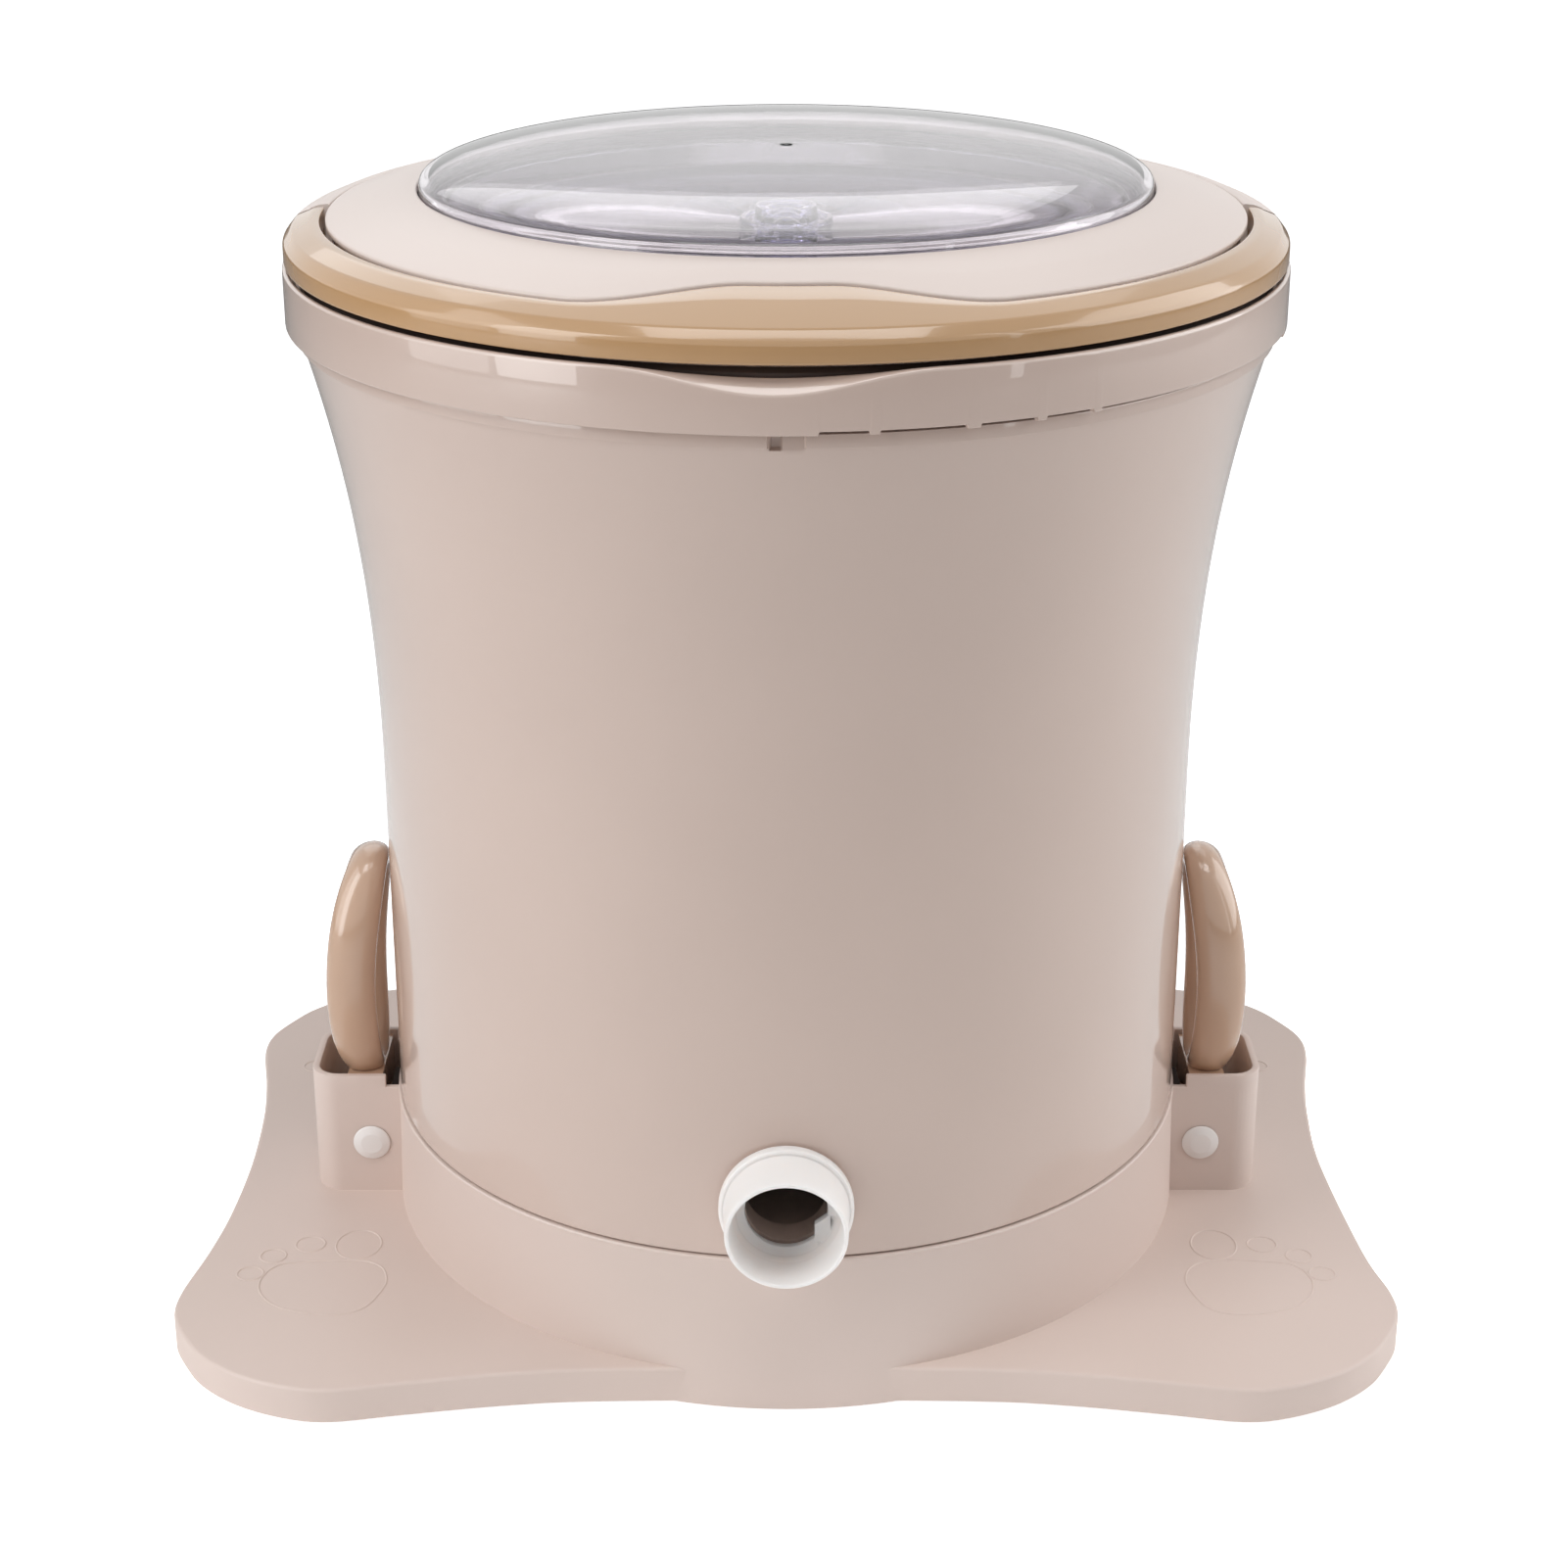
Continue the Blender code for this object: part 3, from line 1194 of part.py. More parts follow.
def lid_profile(outer):
    middle = (outer + dome_hole) / 2
    skirt = outer - lid_undercut
    inner_wall = skirt - lid_wall
    return ((skirt, lid_bottom), (skirt, top_height(outer) - lid_undercut_drop),
            (outer, top_height(outer) - lid_edge_round),
            (outer - lid_edge_round, top_height(outer - lid_edge_round)), (middle, top_height(middle) + lid_crown),
            (dome_hole, dome_hole_z), (dome_hole, dome_hole_z - lid_wall), (middle, top_height(middle) - lid_wall),
            (inner_wall, top_height(inner_wall) - lid_wall), (inner_wall, lid_bottom))


def build_lid_ring():
    sections = []
    for angle in ring_angles(-math.pi * 1.5, math.pi / 2)[1:]:
        sections.append(around(lid_profile(lid_radius - grip_reach(angle + math.pi / 2)), angle))
    lid = loft("lid_ring", sections, blush, closed=True)
    for side in (1, -1):
        low, high = sorted((side * knuckle_inner_x, side * knuckle_outer_x))
        outline = arc((hinge_y, hinge_z), knuckle_radius, 90 * degree, -90 * degree, 6)
        outline += [(knuckle_root_y, hinge_z - knuckle_radius), (knuckle_root_y, hinge_z + knuckle_radius)]
        weld(lid, prism(mirrored("knuckle", side), outline, low, high, blush, "X"))
    cut(lid, rod_shape("knuckle_bore", hinge_pin_radius + running_gap, -knuckle_outer_x - cut_overrun,
                       knuckle_outer_x + cut_overrun, blush, "X", (0, hinge_y, hinge_z), 16))
    return lid


def build_dome():
    edge = dome_hole - seat_gap
    rise = dome_top - dome_flange_top
    outer = [(edge * r, dome_flange_top + rise * h) for r, h in dome_profile_shares]
    inner = [((edge - dome_wall) * r, dome_flange_bottom + (rise - dome_wall + dome_flange_top - dome_flange_bottom) * h)
             for r, h in dome_profile_shares]
    profile = [(dome_flange_radius, dome_flange_bottom), (dome_flange_radius, dome_flange_top)] + outer
    profile += [(0, dome_top), (0, dome_top - dome_wall)] + list(reversed(inner))
    dome = turned("dome_window", profile, clear, large_steps)
    low = dome_flange_top + seat_gap / 3
    seal = turned("dome_seal", ((seal_inner, low), (dome_flange_radius, low), (dome_flange_radius, low + seal_height),
                                (seal_inner, low + seal_height)), rubber, large_steps)
    return [dome, seal]


def build_inner_cover():
    plate_low = cover_plate_top - cover_plate_wall
    profile = ((dome_flange_radius, cover_rim_bottom), (dome_flange_radius, cover_rim_top),
               (cover_rim_inner, cover_rim_top), (cover_dish_radius, cover_plate_top),
               (hub_dome_radius, cover_plate_top), (hub_dome_radius * 0.93, hub_dome_top - hub_dome_radius * 0.35),
               (hub_dome_radius * 0.6, hub_dome_top - hub_dome_radius * 0.1), (0, hub_dome_top), (0, hub_bore_top),
               (hub_bore, hub_bore_top), (hub_bore, hub_bottom), (hub_radius, hub_bottom), (hub_radius, plate_low),
               (cover_dish_radius, plate_low), (cover_rim_inner, cover_rim_bottom))
    cover = turned("inner_cover", profile, clear, 20)
    low = cover_plate_top - cover_plate_wall / 2
    for side in (1, -1):
        near, far, end = side * bridge_near, side * bridge_far, side * bridge_far_end
        bow = [(-bridge_half_length, near), (bridge_half_length, near), (bridge_half_length, end), (0, far),
               (-bridge_half_length, end)]
        weld(cover, prism("bridge", bow, low, cover_plate_top + bridge_height, clear))
        y_low, y_high = sorted((side * block_near, side * block_far))
        block_low = cover_plate_top - cover_plate_wall / 3
        weld(cover, box("bridge_block", (-block_half, y_low, block_low),
                        (block_half, y_high, cover_plate_top + block_height), clear))
    bush = turned("lid_bush", ((lid_bush_bore, lid_bush_bottom), (lid_bush_radius, lid_bush_bottom),
                               (lid_bush_radius, lid_bush_top), (lid_bush_bore, lid_bush_top)), nylon)
    return [cover, bush]


# Latch rings, their pins and pads

def latch_centre_x(z):
    return latch_bow_x - (z - latch_bow_z) ** 2 / (2 * latch_bow_radius)


def build_latch(side):
    middle = (latch_ring_bottom + latch_ring_top) / 2
    half_height = (latch_ring_top - latch_ring_bottom) / 2 - latch_tube_half_y
    half_width = latch_ring_half_width - latch_tube_half_y
    count, facets = 24, 8

    def route(angle):
        c, s = math.cos(angle), math.sin(angle)
        power = 2 / latch_oval_power
        return (math.copysign(abs(c) ** power, c) * half_width, middle + math.copysign(abs(s) ** power, s) * half_height)

    sections = []
    for i in range(count):
        angle = math.tau * i / count
        y, z = route(angle)
        ahead, behind = route(angle + 0.02), route(angle - 0.02)
        along = Vector((ahead[0] - behind[0], ahead[1] - behind[1])).normalized()
        outward = Vector((along.y, -along.x))
        reach = abs(z - middle) / half_height
        half_x = latch_tube_half_x + (latch_tube_end_half_x - latch_tube_half_x) * reach ** 2
        ring = []
        for j in range(facets):
            turn = math.tau * j / facets
            push = outward * latch_tube_half_y * math.sin(turn)
            here_z = z + push.y
            ring.append((side * (latch_centre_x(here_z) + half_x * math.cos(turn)), y + push.x, here_z))
        sections.append(ring)
    lever = loft(mirrored("latch_ring", side), sections, tan, closed=True)

    half = bracket_half_width - bracket_wall - running_gap
    eye = (latch_pin_x, latch_pin_z)
    outline = [(latch_stem_inner_x, latch_stem_top), (latch_stem_inner_x, latch_pin_z + latch_eye_radius * 0.7)]
    outline += arc(eye, latch_eye_radius, 145 * degree, 360 * degree, 8)
    outline += [(latch_stem_outer_x, latch_pin_z + latch_eye_radius), (latch_stem_outer_x, latch_stem_top)]
    outline = [(side * x, z) for x, z in outline]
    weld(lever, prism(mirrored("latch_stem", side), outline, -half, half, tan, "Y"))
    cut(lever, rod_shape(mirrored("latch_bore", side), latch_pin_radius + running_gap, -bracket_half_width,
                         bracket_half_width, tan, "Y", (side * latch_pin_x, 0, latch_pin_z), 12))
    loop_half = half_width - latch_tube_half_y
    low, high = sorted((side * (latch_stem_inner_x - cut_overrun), side * (latch_stem_outer_x + cut_overrun)))
    cut(lever, box(mirrored("latch_loop_clear", side),
                   (low, -loop_half * 0.8, latch_ring_bottom + 2 * latch_tube_half_y - seat_gap),
                   (high, loop_half * 0.8, latch_stem_top + cut_overrun), tan))

    low, high = sorted((side * (skirt_radius + running_gap), side * (latch_stem_inner_x - seat_gap)))
    pad = box(mirrored("latch_pad", side), (low, -pad_half_width, pad_bottom), (high, pad_half_width, pad_top), rubber)
    front = -bracket_half_width - seat_gap
    rear = bracket_half_width + seat_gap
    profile = ((0, front - latch_head_height), (latch_head_radius * 0.6, front - latch_head_height * 0.9),
               (latch_head_radius * 0.95, front - latch_head_height * 0.35), (latch_head_radius, front),
               (latch_pin_radius, front), (latch_pin_radius, rear), (latch_head_radius * 0.7, rear),
               (latch_head_radius * 0.7, rear + latch_head_height), (0, rear + latch_head_height))
    turned(mirrored("latch_pin", side), profile, white, 16, "Y", (side * latch_pin_x, 0, latch_pin_z))
    return [lever, pad]


# Put the dryer together, each moving group on the empty of its joint

def build_dryer():
    build_foot_base()
    build_rubber_feet()
    build_guide_tube()
    build_drive_rod()

    lift = joint("barrel_lift")
    spin = joint("basket_spin", (0, 0, basket_floor_bottom), lift)
    nut_spin = joint("nut_spin", (0, 0, nut_bottom), lift)
    lid_open = joint("lid_open", (0, hinge_y, hinge_z), lift)
    bail_lift = joint("bail_lift", (0, -bail_pivot_setback, bail_pivot_z), lift)

    fixed, turning = build_bearings()
    carry(lift, build_barrel(), build_rim_ring(), *build_spout(), *build_housing(), *build_rear_cover(),
          *build_bail_pins(), *fixed)
    carry(spin, build_basket(), build_basket_floor(), build_column(), build_spindle(), *build_clutch_and_shaft(),
          *turning)
    carry(nut_spin, build_drive_nut())
    carry(lid_open, build_lid_ring(), *build_dome(), *build_inner_cover())
    carry(bail_lift, *build_bail())
    for side in (1, -1):
        latch = joint(mirrored("latch", side), (side * latch_pin_x, 0, latch_pin_z))
        carry(latch, *build_latch(side))


build_dryer()
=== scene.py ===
# %% [markdown]
# # A manual spin dryer
# A barrel stands in a lobed foot plate. The user stands on the plate, pulls the barrel up by the tan bail and
# pushes it down again, and a twisted rod in the plate spins the basket inside. The engineering model gives every
# size and every joint. This lesson dresses it: each visible piece is rebuilt with rounded edges, gets a finish and
# rides on the body that carries it.

# %% Load the model and keep its box
import functools
import json
import math

import bmesh
import bpy
from mathutils import Matrix, Vector


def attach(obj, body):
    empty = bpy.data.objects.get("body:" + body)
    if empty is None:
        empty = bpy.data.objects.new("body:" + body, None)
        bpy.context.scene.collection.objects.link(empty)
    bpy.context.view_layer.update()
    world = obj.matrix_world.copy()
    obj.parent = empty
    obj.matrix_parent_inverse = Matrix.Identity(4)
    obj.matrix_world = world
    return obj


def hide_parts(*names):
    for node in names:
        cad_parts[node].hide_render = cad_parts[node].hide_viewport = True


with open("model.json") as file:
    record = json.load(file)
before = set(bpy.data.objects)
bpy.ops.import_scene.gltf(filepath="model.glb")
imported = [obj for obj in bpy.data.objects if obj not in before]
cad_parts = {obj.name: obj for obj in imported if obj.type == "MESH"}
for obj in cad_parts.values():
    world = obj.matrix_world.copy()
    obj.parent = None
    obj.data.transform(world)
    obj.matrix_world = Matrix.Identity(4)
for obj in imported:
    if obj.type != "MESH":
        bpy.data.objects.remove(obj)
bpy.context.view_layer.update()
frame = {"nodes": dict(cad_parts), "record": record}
mm = 0.001
degree = math.pi / 180

# %% [markdown]
# The camera stands above the dryer and looks down on it, as the photographer's did. Its place and its lens were
# found by fitting the ellipses of the barrel's rings.

# %% The camera


def new_object(name, data):
    made = bpy.data.objects.new(name, data)
    bpy.context.collection.objects.link(made)
    return made


camera = new_object("camera", bpy.data.cameras.new("camera"))
camera.location = (-0.0007, -0.9277, 0.5308)
camera.rotation_euler = (68.08 * degree, 0, 0)
camera.data.sensor_width = 36
camera.data.lens = 68.5
bpy.context.scene.camera = camera
bpy.context.scene.view_settings.view_transform = "Standard"
print(f"camera {camera.location.length:.2f} m from the foot of the dryer")

# %% [markdown]
# Glossy plastic shows its surroundings, so the lighting is a small product studio: two tall soft boxes on the left
# and a wide one on the right, a narrow one at the front right for the bright line on the bail, and two above. The
# open space between the sides shades the middle of the barrel. The powers were found by rendering each box alone
# and fitting their sum to the tones of the photograph. A white card behind lights no matt surface: it is mirrored
# in the front of the dome and in the shoulder of the bail.

# %% Soft boxes
dryer_middle = Vector((0, 0, 0.2))


def soft_box(name, place, size, power):
    lamp = bpy.data.lights.new(name, "AREA")
    lamp.shape = "RECTANGLE"
    lamp.size, lamp.size_y = size
    lamp.energy = power
    box = new_object(name, lamp)
    box.location = place
    box.rotation_euler = (dryer_middle - box.location).to_track_quat("-Z", "Y").to_euler()
    return box


soft_box("left_box", (-1.04, -0.78, 0.71), (0.5, 1.46), 8.5)
soft_box("left_side", (-1.26, -0.33, 0.71), (0.6, 1.46), 4.4)
soft_box("right_box", (1.5, 0.0, 0.8), (1.6, 1.5), 16.5)
soft_box("right_strip", (1.0, -0.9, 0.73), (0.07, 1.44), 0.8)
soft_box("rear_top", (0, 0.9, 1.75), (1.5, 0.9), 2.6)
soft_box("front_top", (0, -0.6, 1.9), (1.4, 0.6), 9.8)
card = soft_box("rear_card", (-0.25, 1.6, 1.42), (1.5, 1.0), 3.6)
card.visible_diffuse = False
print(len(bpy.data.lights), "soft boxes")

# %% [markdown]
# The background is white paper. The camera, glossy rays and transmitted rays see the room as plain white, while
# the light that it really gives stays low, so the pale plastic keeps its colour. The floor's glow and colour are
# painted light: bright near the dryer and falling off with distance, as a lit sheet does, so the barrel that
# mirrors it darkens towards the rim. Close under the plate the floor keeps a light shadow. A few helpers keep node
# trees short: feed sets a socket or links it, and most others make one kind of node.

# %% Helpers for node trees


def node(tree, kind, **values):
    made = tree.nodes.new(kind)
    for key, value in values.items():
        if key in made.inputs:
            made.inputs[key].default_value = value
        else:
            setattr(made, key, value)
    return made


def chain(tree, *steps):
    """Links (output, input) pairs in order."""
    for start, end in steps:
        tree.links.new(start, end)


def feed(tree, socket, value):
    """Links a node's output to the socket, or sets the socket to a plain value."""
    if isinstance(value, bpy.types.NodeSocket):
        tree.links.new(value, socket)
    else:
        socket.default_value = value


def calculate(tree, operation, first, second=0.0):
    made = node(tree, "ShaderNodeMath", operation=operation)
    feed(tree, made.inputs[0], first)
    feed(tree, made.inputs[1], second)
    return made.outputs[0]


def stretch(tree, value, low, high, to_low=0.0, to_high=1.0):
    made = node(tree, "ShaderNodeMapRange")
    for socket, amount in zip(made.inputs, (value, low, high, to_low, to_high)):
        feed(tree, socket, amount)
    return made.outputs["Result"]


def blend(tree, share, first, second, kind="RGBA"):
    """Mixes two colours, or two numbers where the kind is FLOAT."""
    mix = node(tree, "ShaderNodeMix", data_type=kind)
    first_input, output = {"FLOAT": (2, 0), "RGBA": (6, 2)}[kind]
    for number, value in ((0, share), (first_input, first), (first_input + 1, second)):
        feed(tree, mix.inputs[number], value)
    return mix.outputs[output]


def object_place(tree):
    return node(tree, "ShaderNodeTexCoord").outputs["Object"]


def set_inputs(inputs, **values):
    """Sets inputs by their names, where an underscore stands for a space."""
    for label, value in values.items():
        inputs[label.replace("_", " ")].default_value = value


def new_material(name, **values):
    """A material, its tree and the inputs of its shader, some of them set."""
    made = bpy.data.materials.new(name)
    made.use_nodes = True
    inputs = made.node_tree.nodes["Principled BSDF"].inputs
    set_inputs(inputs, **values)
    print("material", name)
    return made, made.node_tree, inputs

# %% The white room
world = bpy.data.worlds.new("room")
bpy.context.scene.world = world
world.use_nodes = True
tree = world.node_tree
room = tree.nodes["Background"].inputs
room["Color"].default_value = (1, 1, 1, 1)
seen_strength, light_strength = 1.0, 0.1
ray = node(tree, "ShaderNodeLightPath").outputs
bounced = blend(tree, ray["Is Glossy Ray"], light_strength, seen_strength, "FLOAT")
direct = calculate(tree, "MAXIMUM", ray["Is Camera Ray"], ray["Is Transmission Ray"])
feed(tree, room["Strength"], blend(tree, direct, bounced, seen_strength, "FLOAT"))

floor_reach = 6
floor_mesh = bpy.data.meshes.new("paper_floor")
floor_mesh.from_pydata([(x * floor_reach, y * floor_reach, 0) for x, y in ((-1, -1), (1, -1), (1, 1), (-1, 1))],
                       [], [(0, 1, 2, 3)])
paper_floor = new_object("paper_floor", floor_mesh)
paper, tree, paper_inputs = new_material("paper", Roughness=0.9, Specular_IOR_Level=0.0,
                                         Emission_Color=(1, 1, 1, 1))
measure = node(tree, "ShaderNodeVectorMath", operation="LENGTH")
feed(tree, measure.inputs[0], object_place(tree))
distance = measure.outputs["Value"]
# Painted light: for all rays but the camera's, the floor glows near the dryer and stops glowing a metre out.
painted_floor_glow = stretch(tree, distance, 0.3, 1.0, 0.14, 0.0)
glow_for_camera = stretch(tree, distance, 0.24, 0.5, 0.86, 1.0)
seen = node(tree, "ShaderNodeLightPath").outputs["Is Camera Ray"]
feed(tree, paper_inputs["Emission Strength"], blend(tree, seen, painted_floor_glow, glow_for_camera, "FLOAT"))
# Painted light falloff: the floor's colour darkens from 0.95 near the dryer to 0.65 farther out.
feed(tree, paper_inputs["Base Color"], stretch(tree, distance, 0.5, 1.1, 0.95, 0.65))
floor_mesh.materials.append(paper)
print("floor", 2 * floor_reach, "m wide")

# %% [markdown]
# Moulded plastic is never perfectly even. Its skin has a faint ripple, called orange peel, which softens the edge
# of each reflection, and its gloss changes a little from place to place. Every plastic uses this effect, so it is
# a node group with named inputs that each material sets.

# %% The moulded skin group


def group(name, inputs, outputs):
    tree = bpy.data.node_groups.new(name, "ShaderNodeTree")
    for label, value in inputs.items():
        socket = tree.interface.new_socket(label, in_out="INPUT", socket_type="NodeSocketFloat")
        socket.default_value = value
    for label in outputs:
        tree.interface.new_socket(label, in_out="OUTPUT", socket_type="NodeSocketFloat")
    print("group", name, "puts out", ", ".join(outputs))
    return tree, tree.nodes.new("NodeGroupInput").outputs, tree.nodes.new("NodeGroupOutput").inputs


def noise(tree, place, scale, detail):
    made = node(tree, "ShaderNodeTexNoise", Detail=detail)
    feed(tree, made.inputs["Vector"], place)
    feed(tree, made.inputs["Scale"], scale)
    return made.outputs["Fac"]


cloud_span = (0.2, 0.8)
skin, given, result = group("moulded_skin", {"Peel scale": 350.0, "Smooth roughness": 0.2, "Dull roughness": 0.3,
                                             "Cloud scale": 14.0}, ("Roughness", "Height", "Clouds"))
place = object_place(skin)
peel = noise(skin, place, given["Peel scale"], 2.0)
clouds = noise(skin, place, given["Cloud scale"], 1.0)
gloss = stretch(skin, clouds, *cloud_span, given["Smooth roughness"], given["Dull roughness"])
chain(skin, (gloss, result["Roughness"]), (peel, result["Height"]),
      (stretch(skin, clouds, *cloud_span), result["Clouds"]))

# %% [markdown]
# Grooves get painted shade: where light would reach less, their colour is darkened. Geometry's Pointiness tells
# grooves from edges, so one group gives a mask of them.
# Its two inputs say where a groove starts and where it counts as deep.

# %% The groove group
# Painted shade: this group gives the mask of grooves where the plastics are darkened.
grooves, given, result = group("painted_groove_shade", {"Groove start": 0.49, "Groove end": 0.44}, ("Grooves",))
sharpness = node(grooves, "ShaderNodeNewGeometry").outputs["Pointiness"]
feed(grooves, result["Grooves"], stretch(grooves, sharpness, given["Groove start"], given["Groove end"]))

# %% [markdown]
# One helper makes every plastic: it places the groups in a material, mixes the colour from a deep and a light
# shade, and feeds the ripple to a Bump node. The thin white plastic of the spout also lets some light through,
# which keeps its inside pale.

# %% Plastics


def linear(red, green, blue):
    """A screen colour of 0 to 255 as the linear values that Blender works in."""
    shares = [channel / 255 for channel in (red, green, blue)]
    return [share / 12.92 if share <= 0.04045 else ((share + 0.055) / 1.055) ** 2.4 for share in shares] + [1.0]


def place_group(tree, which, **values):
    made = tree.nodes.new("ShaderNodeGroup")
    made.node_tree = which
    set_inputs(made.inputs, **values)
    return made.outputs


def wear_skin(tree, inputs, smooth, dull, strength, ripple, **values):
    """Feeds the skin group's gloss and ripple to a shader and returns its clouds."""
    surface = place_group(tree, skin, Smooth_roughness=smooth, Dull_roughness=dull, **values)
    bump = node(tree, "ShaderNodeBump", Strength=strength, Distance=ripple)
    chain(tree, (surface["Roughness"], inputs["Roughness"]), (surface["Height"], bump.inputs["Height"]),
          (bump.outputs["Normal"], inputs["Normal"]))
    return surface["Clouds"]


def plastic(name, deep, light, smooth, dull, peel_height, coat=0.0, groove_shaded=True, **values):
    made, tree, inputs = new_material(name, Coat_Weight=coat, Coat_Roughness=0.03, **values)
    clouds = wear_skin(tree, inputs, smooth, dull, 0.12, peel_height)
    colour = blend(tree, clouds, linear(*deep), linear(*light))
    # Painted shade: in the grooves the colour is darkened to seven tenths of the deep shade.
    if groove_shaded:
        groove_shade_colour = linear(*(0.7 * channel for channel in deep))
        colour = blend(tree, place_group(tree, grooves)["Grooves"], colour, groove_shade_colour)
    feed(tree, inputs["Base Color"], colour)
    return made


taupe_gloss = plastic("pearl_taupe", (203, 182, 171), (207, 186, 175), 0.27, 0.32, 0.00002, 1.0, groove_shaded=False)
taupe_satin = plastic("plate_taupe", (217, 200, 191), (222, 205, 197), 0.42, 0.52, 0.0002, groove_shaded=False)
blush = plastic("pale_blush", (227, 213, 206), (231, 217, 210), 0.32, 0.4, 0.00008)
tan = plastic("tan_gloss", (186, 147, 104), (192, 153, 110), 0.14, 0.2, 0.00003, 0.6)
tan_deep = plastic("latch_tan", (195, 162, 137), (201, 168, 143), 0.18, 0.24, 0.00003, 0.9)
white = plastic("white_plastic", (236, 232, 230), (241, 238, 236), 0.34, 0.42, 0.00008)
milky_white = plastic("milky_white", (236, 232, 230), (241, 238, 236), 0.34, 0.42, 0.00008, Subsurface_Weight=0.9,
                      Subsurface_Radius=(1.0, 0.9, 0.85), Subsurface_Scale=6 * mm)
basket_white = plastic("basket_white", (222, 220, 218), (230, 228, 226), 0.4, 0.5, 0.0001)
nylon = plastic("nylon", (220, 216, 205), (228, 224, 214), 0.45, 0.55, 0.0001)
# Dark rubber for the feet, and also the colour of the painted shade ring in the rim's channel, warmed to the brown
# of that shadow.
rubber = plastic("dark_rubber", (56, 43, 38), (66, 52, 46), 0.75, 0.88, 0.0003)

# %% [markdown]
# The metal parts inside are ground or turned, so their roughness runs in fine rings round the axis. A wave
# texture on Object coordinates gives the rings, and the skin group's clouds keep them from looking printed.

# %% Metals


def turned_metal(name, colour, low, high):
    made, tree, inputs = new_material(name, Metallic=1.0)
    rings = node(tree, "ShaderNodeTexWave", wave_type="BANDS", bands_direction="Z", Scale=900.0, Distortion=1.5)
    feed(tree, rings.inputs["Vector"], object_place(tree))
    feed(tree, inputs["Roughness"], stretch(tree, rings.outputs["Fac"], 0.0, 1.0, low, high))
    clouds = place_group(tree, skin, Cloud_scale=60.0)["Clouds"]
    darker = linear(*(0.86 * channel for channel in colour))
    feed(tree, inputs["Base Color"], blend(tree, clouds, darker, linear(*colour)))
    return made


steel = turned_metal("ground_steel", (206, 207, 209), 0.22, 0.36)
brass = turned_metal("turned_brass", (214, 178, 112), 0.2, 0.34)

# %% [markdown]
# The dome and the cover under it are clear plastic with a faint tint. Principled's Transmission does the
# refraction, and the skin group gives the slight waviness that breaks up the reflections.

# %% Clear plastic


def clear_plastic(name, colour, roughness, ripple):
    made, tree, inputs = new_material(name, Base_Color=linear(*colour), Transmission_Weight=1.0, IOR=1.49)
    wear_skin(tree, inputs, roughness, roughness + 0.012, 0.25, ripple, Peel_scale=45.0)
    return made


dome_clear = clear_plastic("dome_clear", (244, 239, 243), 0.004, 0.00006)
cover_clear = clear_plastic("cover_clear", (228, 228, 248), 0.01, 0.0001)

# %% [markdown]
# Real mouldings have no sharp edges. A profile is written as corners, each with the radius of its rounding, and
# this helper swaps every corner for a short curve. The light then runs along the edge as it does in a photograph.
# All shapes are written in millimetres, and the helper that skins them turns them into metres.

# %% Rounded profiles


def rounded(corners, bends=4):
    """Points of a closed outline whose (x, y, radius) corners are rounded."""
    points = []
    for i, (x, y, radius) in enumerate(corners):
        here = Vector((x, y))
        if not radius:
            points.append(here)
            continue
        back = Vector(corners[i - 1][:2]) - here
        ahead = Vector(corners[(i + 1) % len(corners)][:2]) - here
        run = min(radius / math.tan(back.angle(ahead) / 2), 0.48 * back.length, 0.48 * ahead.length)
        start, end = here + back.normalized() * run, here + ahead.normalized() * run
        for step in range(bends + 1):
            t = step / bends
            points.append(start * (1 - t) ** 2 + here * 2 * t * (1 - t) + end * t ** 2)
    return points


def arc(x, y, radius, start, stop, step):
    """Points on a circle round (x, y), by angles in degrees."""
    turns = [a * degree for a in range(start, stop, step)]
    return [(x + radius * math.cos(turn), y + radius * math.sin(turn)) for turn in turns]


def smooth(share):
    share = min(max(share, 0.0), 1.0)
    return share * share * (3 - 2 * share)


def hump(share):
    """One at zero, nought at one and beyond, with a level top and foot."""
    return 0.5 + 0.5 * math.cos(math.pi * min(abs(share), 1.0))

# %% [markdown]
# Nearly everything here is a section that travels: round the axis for a lathe shape, along a ring for the lid,
# or up a stack of outlines for the plate. One helper skins a list of equal sections into a closed mesh. Another
# gives a piece its material, hangs it on the body that it rides on and hides the solids that it stands for.

# %% Skinning sections


def finish_piece(piece, material, body, stands_for=(), sharp=35):
    mesh = piece.data
    mesh.materials.clear()
    mesh.materials.append(material)
    mesh.shade_smooth()
    mesh.set_sharp_from_angle(angle=sharp * degree)
    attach(piece, body)
    if stands_for:
        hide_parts(*stands_for)
    print(f"{piece.name}: {len(mesh.polygons)} faces")


def object_from(work, name):
    mesh = bpy.data.meshes.new(name)
    work.to_mesh(mesh)
    work.free()
    return new_object(name, mesh)


def skinned(name, sections, closed=True):
    """A solid through sections in millimetres with equal counts, closed on itself or capped at its ends."""
    work = bmesh.new()
    rings = [[work.verts.new(Vector(point) * mm) for point in section] for section in sections]
    count = len(sections[0])
    for first, second in zip(rings, rings[1:] + rings[:1] if closed else rings[1:]):
        for j in range(count):
            k = (j + 1) % count
            work.faces.new((first[j], first[k], second[k], second[j]))
    if not closed:
        work.faces.new(rings[0])
        work.faces.new(rings[-1])
    bmesh.ops.remove_doubles(work, verts=work.verts, dist=1e-6)
    bmesh.ops.recalc_face_normals(work, faces=work.faces)
    return object_from(work, name)


def at_angle(profile, angle):
    return [(x * math.cos(angle), x * math.sin(angle), z) for x, z in profile]


